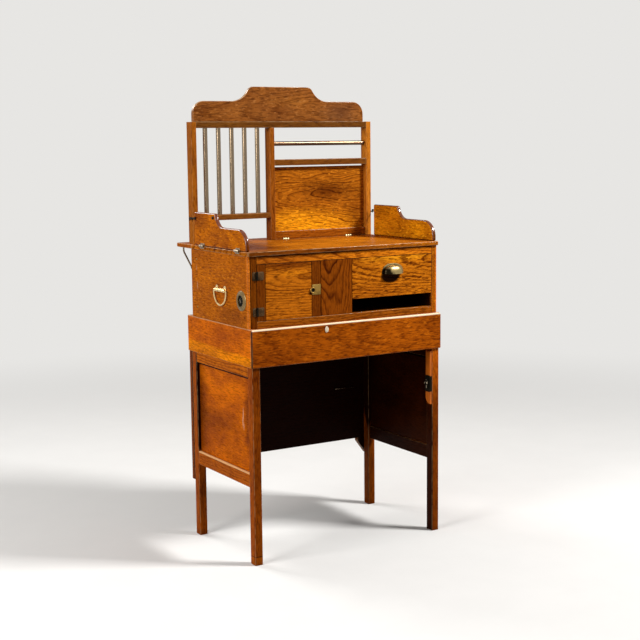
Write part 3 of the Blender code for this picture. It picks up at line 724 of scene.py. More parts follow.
def side_marks(face, depth, rows):
    """Marks on a board's side. A row gives the place along and up, the radii and the rest of a mark."""
    return [Mark((face, y, z), (depth, long, high), *rest) for y, z, long, high, *rest in rows]


def kneehole_shade(node, way):
    """A painted shade all over the side of an end frame's board that looks into the kneehole."""
    return Mark((outer_face(node, -way), 0.0, 0.5), (0.004, ALL, ALL), (0.07, 0.055, 0.1), 1.0, 0.4, 0.0)


class DressStand(bpy.types.Operator):
    """Oak for the legs, end frames, back panel and table box"""

    bl_idname = "desk.dress_stand"
    bl_label = "Dress the stand"

    def execute(self, context):
        edges = context.scene.desk_edges
        for side, way in SIDES:
            for row in ("front", "rear"):
                self.leg(f"leg_{row}_{side}", edges.leg)
            self.rails(side, way, edges.board)
            self.end_panel(side, way, edges.board)
            self.table_side(f"table_side_{side}", way, edges.leg)
        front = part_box("back_panel")[0].y
        # A painted shade over the back panel's front face, which looks into the kneehole.
        kneehole = Mark((0.0, front, 0.5), (ALL, 0.006, ALL), (0.06, 0.05, 0.1), 1.0, 0.4, 0.0)
        dress_oak(
            "back_panel", edges.board, "brown_oak", (0.62, 0.56, 0.7), lines=0.5, wear=0.4, marks=(kneehole,)
        )
        dress_oak("table_top", edges.board, "amber_oak", (0.8, 0.72, 0.8), lines=0.4)
        dress_oak("table_bottom", edges.board, "brown_oak", (0.3, 0.3, 0.5), lines=0.4)
        return {"FINISHED"}

    def leg(self, name, edge):
        low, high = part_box(name)
        middle = (low + high) / 2
        own_marks = {
            "leg_front_left": (
                Mark((middle.x, low.y, 0.0285), (0.05, 0.05, 0.0016), (0.08, 0.07, 0.1), 0.95, 0.5, 0.1),
                Mark((middle.x, low.y, 0.010), (0.05, 0.05, 0.019), (1.5, 1.7, 2.0), 0.8, 0.3, 0.1),
            ),
            "leg_front_right": (
                # On the front right leg: a painted shade on the side facing the kneehole, below the catch; a
                # painted light on the front's upper part, outweighing the painted shade of every leg's front;
                # and a darker band lower on the front.
                Mark((low.x, 0.0, 0.20), (0.004, ALL, 0.25), (0.10, 0.08, 0.1), 1.0, 0.04, 0.0),
                Mark((middle.x, low.y, 0.63), (ALL, 0.006, 0.22), (2.2, 2.3, 2.4), 1.0, 0.95, 0.1),
                Mark((middle.x, low.y, 0.33), (ALL, 0.006, 0.07), (0.64, 0.58, 0.8), 1.0, 0.9, 0.1),
            ),
            "leg_rear_left": (
                # A painted shadow on the rear left leg's front face, in the recess beside the end panel.
                Mark((middle.x, low.y, 0.56), (ALL, 0.006, 0.265), (0.07, 0.05, 0.1), 1.0, 0.04, 0.0),
            ),
            "leg_rear_right": (
                # The rear right leg's upper part takes a painted shade, and its lower part is darker too, less
                # so.
                Mark((low.x, low.y, 0.60), (0.028, 0.05, 0.32), (0.07, 0.05, 0.1), 1.0, 0.08, 0.0),
                Mark((low.x, low.y, 0.15), (0.026, 0.05, 0.20), (0.68, 0.70, 0.7), 1.0, 0.4, 0.0),
            ),
        }
        # A painted shade that makes every leg's front face darker than its sides.
        front = Mark((middle.x, low.y, 0.4), (ALL, 0.006, ALL), (0.66, 0.64, 0.4), 1.0, 0.5, 0.0)
        foot = Mark((middle.x, middle.y, 0.0), (ALL, ALL, 0.03), (0.6, 0.55, 0.6), 0.7)
        marks = (front, foot, *own_marks[name])
        dress_oak(name, edge, "amber_oak", (0.80, 0.64, 0.6), lines=0.34, ticks=0.5, wear=0.4, marks=marks)

    def rails(self, side, way, edge):
        name = f"end_top_rail_{side}"
        marks = (kneehole_shade(name, way),)
        dress_oak(name, edge, "amber_oak", (1.0, 0.86, 0.4), lines=0.9, wear=0.4, marks=marks)
        name = f"end_bottom_rail_{side}"
        # A pale band along the bottom rail's top outer arris: worn wood, and a painted highlight along it.
        arris = (outer_face(name, way), 0.0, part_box(name)[1].z)
        worn = Mark(arris, (0.010, ALL, 0.0055), (0.80, 0.46, 0.20), 0.9, 0.6, 0.6, True)
        marks = (kneehole_shade(name, way), worn)
        dress_oak(name, 2 * edge, "amber_oak", (0.94, 0.78, 0.6), lines=0.55, wear=0.3, marks=marks)

    def end_panel(self, side, way, edge):
        name = f"end_panel_{side}"
        face = outer_face(name, way)
        depth = 0.02
        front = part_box(f"leg_front_{side}")[1].y
        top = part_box(f"end_top_rail_{side}")[0].z
        rows = (
            # The first row is a painted shadow under the top rail.
            (0.0, top, ALL, 0.0095, (0.06, 0.05, 0.1), 1.0, 0.3, 0.0),
            (front + 0.018, 0.47, 0.036, 0.17, (0.46, 0.42, 0.5), 0.9, 0.8),
            (-0.155, 0.40, 0.018, 0.10, (1.3, 1.4, 2.0), 0.5),
            (0.15, 0.46, 0.095, 0.26, (0.36, 0.31, 0.4), 0.9, 0.8),
            (0.02, 0.425, 0.26, 0.065, (0.68, 0.66, 0.6), 0.9),
            (0.0, 0.565, 0.24, 0.055, (1.5, 1.65, 1.2), 0.8),
        )
        marks = side_marks(face, depth, rows) + [kneehole_shade(name, way)]
        if way < 0:
            bare = ((0.62, 0.40, 0.26), 0.85, 0.8, 0.7, True)
            marks += side_marks(face, depth, [(*scrape, *bare) for scrape in SCRAPES])
        dress_oak(
            name, edge, "amber_oak", (1.18, 0.98, 0.16),
            along=Y, lines=0.14, ticks=0.28, mottle=0.32, wear=0.3, marks=marks,
        )

    def table_side(self, name, way, edge):
        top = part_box(name)[1].z
        marks = (
            Mark((way * 0.37, 0.9, 0.50), (ALL, 3.0, 0.188), (1.25, 1.65, 0.8), 1.0, 0.05, 0.05),
            Mark((way * 0.37, -0.10, 0.672), (0.06, 0.05, 0.025), (0.62, 0.50, 0.5), 0.6),
            Mark((way * 0.37, 0.02, 0.735), (0.06, 0.18, 0.03), (0.80, 0.74, 0.8), 0.7),
            # A pale band along the top outer arris: a painted highlight.
            Mark((way * 0.364, 0.0, top), (0.02, ALL, 0.0035), (0.50, 0.28, 0.14), 0.7, 0.7, 0.8, True),
        )
        dress_oak(name, edge, "brown_oak", (1.78, 1.68, 0.4), lines=0.22, mottle=0.38, marks=marks)


class DressTill(bpy.types.Operator):
    """Oak for the wide till drawer"""

    bl_idname = "desk.dress_till"
    bl_label = "Dress the till drawer"

    def execute(self, context):
        edge = context.scene.desk_edges.board
        low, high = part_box("till_front")
        face = low.y
        marks = (
            Mark((-0.075, face, 0.712), (0.06, 0.03, 0.014), (0.40, 0.34, 0.4), 0.8),
            Mark((0.22, face, 0.70), (0.22, 0.03, 0.07), (1.45, 1.55, 1.4), 0.7),
            # A pale band along the till front's top arris: a painted highlight.
            Mark((0.0, face, high.z), (ALL, 0.02, 0.0060), (0.95, 0.76, 0.52), 1.0, 0.35, 0.4, True),
            Mark((low.x, face, 0.70), (0.0022, 0.05, ALL), (0.16, 0.11, 0.2), 1.0, 0.3, 0.0),
            Mark((-0.28, face, 0.66), (0.16, 0.03, 0.05), (0.75, 0.68, 0.7), 0.7),
        )
        dress_oak(
            "till_front", edge, "brown_oak", (1.10, 0.97, 0.35), heart=(0.02, 0.10), taper=0.10,
            lines=0.45, ticks=0.6, mottle=0.34, flecks=0.4, wear=0.2, marks=marks,
        )
        dress_oak("till_box", edge, "pale_oak", (1.0, 0.95, 0.9), lines=0.35, wear=0.2)
        return {"FINISHED"}


class DressCase(bpy.types.Operator):
    """Oak for the counter case and its framed front"""

    bl_idname = "desk.dress_case"
    bl_label = "Dress the case"

    # Where the front face of the case lies
    front = -0.238

    def execute(self, context):
        edge = context.scene.desk_edges.board
        for side, way in SIDES:
            self.side(f"case_side_{side}", way, edge)
        for name in ("case_bottom", "case_back", "case_divider", "drawer_shelf"):
            dress_oak(name, edge, "brown_oak", (0.22, 0.21, 0.35), lines=0.4, wear=0.2)
        rows = (
            (0.17, 0.973, 0.40, 0.06, (1.6, 1.75, 1.2), 0.95, 0.6),
            # A painted shadow under the counter's overhang, along the top of the rail.
            (0.0, 0.9858, ALL, 0.0045, (0.12, 0.09, 0.1), 1.0, 0.4, 0.2),
        )
        marks = front_marks(self.front, 0.03, rows)
        dress_oak(
            "case_top_rail", edge, "brown_oak", (1.36, 1.40, 0.8),
            heart=(0.02, 0.05), taper=0.12, lines=0.9, ticks=0.6, marks=marks, **SHADED_JOINTS,
        )
        dress_oak("case_bottom_rail", edge, "brown_oak", (1.0, 1.10, 0.75), lines=0.8, ticks=0.6, wear=0.5)
        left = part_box("case_left_stile")[0].x
        joint = Mark((left, 0.0, 0.9), (0.0030, ALL, ALL), (0.10, 0.08, 0.1), 1.0, 0.4, 0.0)
        dress_oak("case_left_stile", edge, "dark_oak", (1.02, 1.06, 0.4), lines=0.6, marks=(joint,), **SHADED_JOINTS)
        dress_oak(
            "case_centre_stile", edge, "dark_oak", (1.28, 1.22, 0.5),
            heart=(-0.012, 0.055), taper=0.16, rings=125.0, lines=1.0, waver=0.05, flecks=0.1, **SHADED_JOINTS,
        )
        return {"FINISHED"}

    def side(self, name, way, edge):
        face = outer_face(name, way)
        marks = [
            # A painted light along the side's rounded front corner.
            Mark((face, -0.2384, 0.87), (0.012, 0.010, 0.6), (1.6, 1.5, 0.9), 1.0, 0.4, 0.1),
            Mark((face, -0.13, 0.79), (0.05, 0.13, 0.045), (0.66, 0.62, 0.6), 0.8),
            Mark((face, -0.10, 0.86), (0.05, 0.06, 0.05), (0.80, 0.74, 0.8), 0.7),
            Mark((face, 0.05, 0.96), (0.05, 0.16, 0.03), (0.80, 0.76, 0.8), 0.7),
            Mark((face, 0.04, 0.90), (0.05, 0.12, 0.04), (1.2, 1.25, 1.0), 0.7),
            # A painted shade over the side's inner face, inside the case.
            Mark((face - way * 0.0235, -0.01, 0.87), (0.006, 0.229, ALL), (0.06, 0.05, 0.1), 1.0, 0.06, 0.0),
        ]
        if way < 0:
            scuffs = (
                (0.112, 0.868, 0.006, 0.020, (0.50, 0.24, 0.12), 0.6, 0.9, 0.9, True),
                (0.116, 0.925, 0.005, 0.014, (0.50, 0.24, 0.12), 0.5, 0.9, 0.9, True),
                (-0.217, 0.7933, 0.009, 0.006, (0.22, 0.18, 0.2), 0.9, 0.8),
            )
            marks += side_marks(face, 0.02, scuffs)
        dress_oak(
            name, 1.5 * edge, "amber_oak", (0.99, 0.98, 0.5),
            lines=0.28, ticks=0.45, mottle=0.26, flecks=0.4, wear=0.15, marks=marks,
        )


class DressDoor(bpy.types.Operator):
    """Oak for the cupboard door"""

    bl_idname = "desk.dress_door"
    bl_label = "Dress the door"

    def execute(self, context):
        edge = context.scene.desk_edges.board
        rows = (
            (-0.20, 0.925, 0.08, 0.012, (1.35, 1.5, 1.2), 0.7),
            (-0.262, 0.918, 0.010, 0.007, (0.30, 0.25, 0.3), 0.8, 0.8),
            (-0.215, 0.955, 0.18, 0.022, (0.38, 0.28, 0.4), 0.9),
            # A painted shadow below and left of the lock's rose.
            (-0.1345, 0.8580, 0.0085, 0.0065, (0.08, 0.06, 0.1), 1.0, 0.5, 0.1),
        )
        marks = front_marks(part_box("door_panel")[0].y, 0.03, rows)
        dress_oak(
            "door_panel", edge, "golden_oak", (1.03, 0.93, 0.5), along=X, heart=(0.042, 0.030), taper=0.085,
            rings=120.0, lines=1.0, waver=0.026, ticks=0.6, flecks=0.4, marks=marks, **SHADED_JOINTS,
        )
        for name in ("door_hinge_stile", "door_lock_stile"):
            dress_oak(name, edge, "dark_oak", (1.0, 1.0, 0.5), lines=0.6, **SHADED_JOINTS)
        return {"FINISHED"}


class DressDrawer(bpy.types.Operator):
    """Oak for the drawer beside the cupboard"""

    bl_idname = "desk.dress_drawer"
    bl_label = "Dress the drawer"

    def execute(self, context):
        edge = context.scene.desk_edges.board
        pull = sum(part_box("drawer_pull"), Vector()) / 2
        pull.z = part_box("drawer_pull")[0].z
        rows = (
            (0.20, 0.955, 0.22, 0.024, (1.45, 1.85, 1.5), 0.8),
            (0.10, 0.845, 0.22, 0.05, (0.70, 0.62, 0.7), 0.8),
            # A painted shadow of the cup pull, below and left of it.
            (pull.x - 0.008, pull.z - 0.002, 0.041, 0.027, (0.04, 0.03, 0.04), 1.0, 0.25, 0.15),
        )
        marks = front_marks(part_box("drawer_front")[0].y, 0.03, rows)
        dress_oak(
            "drawer_front", edge, "golden_oak", (1.16, 1.09, 0.5),
            heart=(0.056, 0.030), taper=0.10, lines=1.0, ticks=0.9, flecks=0.5, marks=marks, **SHADED_JOINTS,
        )
        dress_oak("drawer_box", edge, "pale_oak", (1.0, 0.95, 0.9), lines=0.35, wear=0.2)
        return {"FINISHED"}


class DressCounter(bpy.types.Operator):
    """Oak for the counter and the ledge behind it"""

    bl_idname = "desk.dress_counter"
    bl_label = "Dress the counter"

    def execute(self, context):
        edge = context.scene.desk_edges.counter
        marks = (
            Mark((0.14, -0.02, 1.0), (0.28, 0.14, 0.02), (1.25, 1.35, 1.2), 0.8),
            Mark((-0.28, -0.02, 1.0), (0.18, 0.32, 0.02), (0.24, 0.13, 0.1), 0.95),
            # A painted shade over the left part of the counter's front edge.
            Mark((-0.20, -0.2465, 0.992), (0.46, 0.005, 0.02), (0.46, 0.38, 0.6), 1.0, 0.6, 0.2),
        )
        dress_oak(
            "counter_top", edge, "amber_oak", (1.05, 1.08, 0.9), heart=(0.60, 0.30), taper=0.05,
            rings=30.0, lines=0.8, ticks=0.5, mottle=0.45, gloss=0.004, marks=marks,
        )
        dress_oak("ledge", edge, "amber_oak", (0.85, 0.8, 0.8), lines=0.5, wear=0.6, gloss=0.01)
        return {"FINISHED"}


class DressGalleries(bpy.types.Operator):
    """Oak for the shaped boards at both ends of the counter"""

    bl_idname = "desk.dress_galleries"
    bl_label = "Dress the galleries"

    # The right gallery's lighter stain is painted light on its inner face; a mark takes its outer face back to
    # the left gallery's tone.
    stains = {"left": (1.04, 1.02, 0.3), "right": (1.10, 1.50, 0.9)}

    def execute(self, context):
        edge = context.scene.desk_edges.gallery
        # The dark tone for the galleries' arrises is painted shade.
        dark = stained(context.scene.desk_oak.dark_oak, (0.9, 0.85, 1.0))
        for side, way in SIDES:
            marks = [
                Mark((way * 0.357, -0.14, 1.035), (0.05, 0.09, 0.035), (1.35, 1.45, 1.0), 0.7),
                Mark((way * 0.357, 0.09, 1.085), (0.05, 0.09, 0.05), (0.64, 0.58, 0.6), 0.9),
                # A painted light on each gallery's inner face, then a painted shade on its shaped edges.
                Mark((way * 0.3497, 0.0, 1.05), (0.004, ALL, ALL), (1.4, 1.4, 1.0), 1.0, 0.3, 0.0),
                Mark((way * 0.3567, 0.0, 1.05), (0.0066, ALL, ALL), (0.34, 0.27, 0.35), 1.0, 0.12, 0.0),
            ]
            # The right gallery's outer face, toned back from its painted light.
            if side == "right":
                marks.append(Mark((0.3637, 0.0, 1.05), (0.004, ALL, ALL), (0.95, 0.68, 0.33), 1.0, 0.3, 0.0))
            dress_oak(
                f"gallery_{side}", edge, "amber_oak", self.stains[side], 5, heart=(-0.03, 0.05), taper=0.12,
                lines=0.30, ticks=0.45, mottle=0.30, flecks=0.45, wear=0.9, rub=dark, shine=1.0, marks=marks,
            )
        return {"FINISHED"}


class DressScreen(bpy.types.Operator):
    """Oak for the screen's uprights, rails and crest"""

    bl_idname = "desk.dress_screen"
    bl_label = "Dress the screen"

    # The right upright's lighter stain is painted light on its front and side; the rear mark takes each
    # upright's rear face to one tone.
    uprights = (("left", (0.80, 0.88, 1.2)), ("centre", (0.66, 0.68, 1.0)), ("right", (1.20, 1.48, 2.4)))
    rails = (("top", (0.35, 0.45, 1.2)), ("lower", (0.48, 0.62, 1.6)), ("middle", (0.42, 0.50, 1.2)))
    # The uprights' rear faces are stained no lighter than this
    rear_stain = (0.80, 0.88, 1.2)

    def execute(self, context):
        edges = context.scene.desk_edges
        for side, stain in self.uprights:
            name = f"screen_stile_{side}"
            even = stained(self.rear_stain, tuple(1 / part for part in stain))
            rear = Mark((0.0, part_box(name)[1].y, 1.2), (ALL, 0.006, ALL), even, 1.0, 0.3, 0.0)
            dress_oak(name, edges.board, "amber_oak", stain, lines=0.45, wear=0.4, marks=(rear,))
        for rail, stain in self.rails:
            dress_oak(f"screen_{rail}_rail", 1.5 * edges.board, "amber_oak", stain, lines=0.5, wear=0.7)
        rows = (
            (0.02, 1.475, 0.13, 0.03, (1.25, 1.35, 1.2), 0.6),
            (0.24, 1.44, 0.12, 0.06, (0.70, 0.80, 1.4), 0.8),
            (-0.20, 1.42, 0.16, 0.03, (1.12, 1.10, 1.0), 0.6),
        )
        marks = front_marks(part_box("crest")[0].y, 0.03, rows)
        dress_oak(
            "crest", edges.crest, "brown_oak", (0.82, 1.12, 2.6), heart=(-0.02, 0.06), taper=0.08,
            lines=0.45, ticks=0.55, mottle=0.24, flecks=0.5, wear=0.8, shine=0.5, marks=marks,
        )
        return {"FINISHED"}


class DressFlap(bpy.types.Operator):
    """Oak for the fold-down flap, and the nails that show in it"""

    bl_idname = "desk.dress_flap"
    bl_label = "Dress the flap"

    nails = (
        (0.104, 1.100), (0.156, 1.096), (0.2065, 1.092), (0.225, 1.091), (0.039, 1.065),
        (0.093, 1.0625), (0.117, 1.073), (0.171, 1.0435), (0.292, 1.066),
    )
    nail_head = ((0.0013, -0.0004), (0.0013, 0.0001), (0.0009, 0.0003), (0, 0.0004))

    def execute(self, context):
        edge = context.scene.desk_edges.board
        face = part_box("flap_panel")[0].y
        rows = [
            (0.18, 1.162, 0.18, 0.055, (0.33, 0.25, 0.3), 0.95),
            (0.12, 1.040, 0.27, 0.090, (2.15, 2.85, 1.3), 1.0, 0.95, 0.7),
            (0.30, 1.08, 0.06, 0.10, (0.62, 0.55, 0.6), 0.8),
        ]
        rows += [(x, z, 0.008, 0.006, (0.45, 0.38, 0.4), 0.6) for x, z in self.nails]
        dress_oak(
            "flap_panel", edge, "golden_oak", (0.90, 0.88, 0.6), heart=(0.02, 0.05), taper=0.07, rings=190.0,
            lines=1.0, waver=0.05, ticks=0.55, flecks=0.6, wear=0.3, marks=front_marks(face, 0.009, rows),
        )
        dress_oak("flap_batten", 2 * edge, "golden_oak", (0.75, 0.70, 0.6), lines=0.45, wear=0.9)
        nails = [(lathe(self.nail_head, 16), on_front(x, face, z)) for x, z in self.nails]
        make_piece("flap_nails", nails, "black_iron", "flap")
        return {"FINISHED"}


class DressMetal(bpy.types.Operator):
    """Steel and brass for the rods, stays, hooks and handles"""

    bl_idname = "desk.dress_metal"
    bl_label = "Dress the metal"

    strap_thickness = 0.0018
    # Radius of the strap's rounded corners, which hold its screws
    ear = 0.0085

    def execute(self, context):
        edge = context.scene.desk_edges.metal
        for name in [f"rod_{number}" for number in range(1, 6)] + ["brace_left", "brace_right"]:
            dress(name, shared_metal("brushed_steel"))
        dress("cross_rod", shared_metal("dark_steel"))
        for side, way in SIDES:
            dress(f"hook_{side}", shared_metal("sooty_iron"), edge)
            dress(f"handle_ring_{side}", shared_metal("bright_brass"))
            self.strap(side, way, context.scene.desk_hardware.screw)
        return {"FINISHED"}

    def strap(self, side, way, screw_radius):
        """The strap that a handle's ring hangs from: a rolled barrel below a plate with two eared corners."""
        node = f"handle_strap_{side}"
        low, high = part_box(node)
        wall = outer_face(f"case_side_{side}", way)
        axis = joint_place(f"ring_hinge_{side}")[2]
        place = on_side(way, wall + way * 3 * HAIR, (low.y + high.y) / 2, 0.0)
        half, roll, ear = (high.y - low.y) / 2, (high.x - low.x) / 2, self.ear
        shoulder = high.z - ear
        dip = axis + roll + 0.0006
        outline = [(-half, axis), (half, axis)]
        for middle in (half - ear, ear - half):
            outline += [(point.x, point.z) for point in arc_points((middle, 0, shoulder), ear, 0, 180, 12)]
            if middle > 0:
                outline += [(half - 2 * ear, dip), (2 * ear - half, dip)]
        along = Matrix.Translation((0, axis, roll)) @ Matrix.Rotation(math.pi / 2, 4, "Y")
        leaf = plate(outline, self.strap_thickness, 0.0003)
        parts = [(leaf, place), (barrel(roll, -half, half), place @ along)]
        piece = make_piece(f"handle_eared_strap_{side}", parts, "bright_brass", "desk")
        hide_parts(node)
        screws = []
        for offset, turn in ((ear - half, 30.0), (half - ear, -15.0)):
            spot = Matrix.Translation((offset, shoulder, self.strap_thickness))
            screws.append((screw(screw_radius, turn), place @ spot))
        make_piece(f"handle_screws_{side}", screws, "bright_brass", "desk")


class FitPull(bpy.types.Operator):
    """The drawer's cup pull: a pressed brass shell with a rolled lip, on a flange with two screws"""

    bl_idname = "desk.fit_pull"
    bl_label = "Fit the cup pull"

    wall = 0.0018
    flange_border = 0.0055
    flange = 0.0018
    # How far the lip ends above the foot of the plain solid, and how full the shoulders are, where 1 is round
    lift = 0.0055
    fullness = 0.80
    # The rolled lip: how far each row of it grows, and how far it drops
    lip = ((1.012, -0.0006), (1.010, -0.0014), (0.985, -0.0018))
    turns = [math.pi * step / 48 for step in range(49)]
    rises = [math.pi / 2 * step / 18 for step in range(19)]

    def execute(self, context):
        low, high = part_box("drawer_pull")
        low.z += self.lift
        middle = (low + high) / 2
        width = (high.x - low.x) / 2 - self.flange_border
        reach = high.y - low.y
        rise = high.z - low.z - self.flange_border
        foot = on_front(middle.x, high.y, low.z)
        parts = [(self.shell(width, reach, rise), foot), (self.rim(width, rise), foot)]
        for way in (-1, 1):
            place = on_front(middle.x + way * (width + 0.0022), high.y - self.flange, low.z + 0.0045)
            parts.append((screw(0.0018, 40.0 * way), place))
        piece = make_piece("cup_pull", parts, self.brass(low, high, width, reach, rise), "drawer")
        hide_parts("drawer_pull")
        return {"FINISHED"}

    def brass(self, low, high, width, reach, rise):
        """Brass with a dark groove where the cup meets its flange, and a painted shade over one end."""
        brass = bpy.context.scene.desk_metal.brass
        middle = (low.x + high.x) / 2
        groove_tone, shadow = stained(brass, (0.30, 0.27, 0.24)), stained(brass, (0.025, 0.022, 0.02))
        end = (middle - 0.95 * width, low.y + 0.35 * reach, low.z)
        marks = (
            Mark((middle, high.y, low.z), (1.16 * width, 0.009, 1.16 * rise), groove_tone, 0.95, 0.10, 0.1),
            Mark(end, (0.86 * width, 2.0 * reach, 0.90 * rise), shadow, 1.0, 0.5, 0.3),
        )
        tint, tarnish = stained(brass, (0.66, 0.63, 0.50)), stained(brass, (0.42, 0.36, 0.26))
        return metal("pull_brass", tint, tarnish, 0.28, FINE, 0.5, marks=marks)

    def shell(self, width, reach, rise):
        """The cup, drawn with X across, Y up and Z out: an outer skin, a rolled lip and an inner skin."""
        part = bmesh.new()
        inner = [size - self.wall for size in (width, rise, reach)]
        rows = [self.row(width, rise, reach, up) for up in reversed(self.rises)]
        rows += [self.row(width * grow, rise, reach * grow, 0.0, drop) for grow, drop in self.lip]
        rows += [self.row(*inner, up) for up in self.rises]
        skin(part, [[part.verts.new(point) for point in row] for row in rows])
        bmesh.ops.remove_doubles(part, verts=part.verts, dist=1e-6)
        open_edges = [edge for edge in part.edges if edge.is_boundary]
        bmesh.ops.holes_fill(part, edges=open_edges, sides=0)
        return part

    def row(self, width, rise, reach, up, drop=0.0):
        """Points at one height of the cup, from one end round the front to the other."""
        spread, height = self.full(math.cos(up)), rise * self.full(math.sin(up)) + drop
        ways = [(self.full(math.cos(turn)), self.full(math.sin(turn))) for turn in self.turns]
        return [(width * across * spread, height, reach * out * spread) for across, out in ways]

    def full(self, share):
        """A share of a round section, made fuller at the shoulders."""
        return math.copysign(abs(share) ** self.fullness, share)

    def rim(self, width, rise):
        """The flat flange that the cup stands on, as a bent strip."""
        part = bmesh.new()
        border, thick = self.flange_border, self.flange
        section = ((-0.001, 0.0), (-0.001, thick), (border - 0.001, thick), (border, 0.0008), (border, 0.0))
        rows = []
        for turn in self.turns:
            across, up = self.full(math.cos(turn)), self.full(math.sin(turn))
            points = [((width + wider) * across, (rise + wider) * up, out) for wider, out in section]
            rows.append([part.verts.new(point) for point in points])
        skin(part, rows, True)
        part.faces.new(rows[0])
        part.faces.new(rows[-1])
        return part


def knuckles(radius, half, gap, axis):
    """Barrels on a hinge's axis: the two end ones of one leaf, and the middle one of the other."""
    third = half / 3
    ends = [(barrel(radius, -half, -third - gap), axis), (barrel(radius, third + gap, half), axis)]
    return ends, [(barrel(radius, -third, third), axis)]


class FitDoorHinges(bpy.types.Operator):
    """Two iron butt hinges on the face of the case and the door"""

    bl_idname = "desk.fit_door_hinges"
    bl_label = "Fit the door hinges"

    levels = (("upper", 0.924), ("lower", 0.8114))
    thickness = 0.0014
    clip = 0.0028
    gap = 0.0002

    def execute(self, context):
        sizes = context.scene.desk_hardware
        x, y = joint_place("door_hinge")[:2]
        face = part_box("door_panel")[0].y
        half = sizes.door_leaf_height / 2
        radius = sizes.door_knuckle
        leaves = (("case", "desk", -1, sizes.door_case_leaf), ("door", "door", 1, sizes.door_door_leaf))
        for level, up in self.levels:
            for side, body, way, reach in leaves:
                ends = sorted((way * radius * 0.75, way * reach))
                leaf = plate(clipped(*ends, -half, half, self.clip), self.thickness)
                parts = [(leaf, on_front(x, face - HAIR, up))]
                for turn, height in ((25.0, 0.55), (-50.0, -0.55)):
                    place = on_front(x + way * reach * 0.62, face - self.thickness, up + half * height)
                    parts.append((screw(sizes.screw * 0.8, turn + 30 * way), place))
                make_piece(f"door_hinge_{level}_{side}_leaf", parts, "black_iron", body)
            outer, middle = knuckles(radius, half, self.gap, on_top(x, y, up))
            for end in (-1, 1):
                tip = lathe([(radius * 0.6, 0), (radius * 0.5, 0.0008), (0, 0.0011)], 16)
                outer.append((tip, facing((x, y, up + end * half), (1, 0, 0), (0, end, 0))))
            make_piece(f"door_hinge_{level}_case_knuckles", outer, "sooty_iron", "desk")
            make_piece(f"door_hinge_{level}_door_knuckle", middle, "sooty_iron", "door")
        return {"FINISHED"}


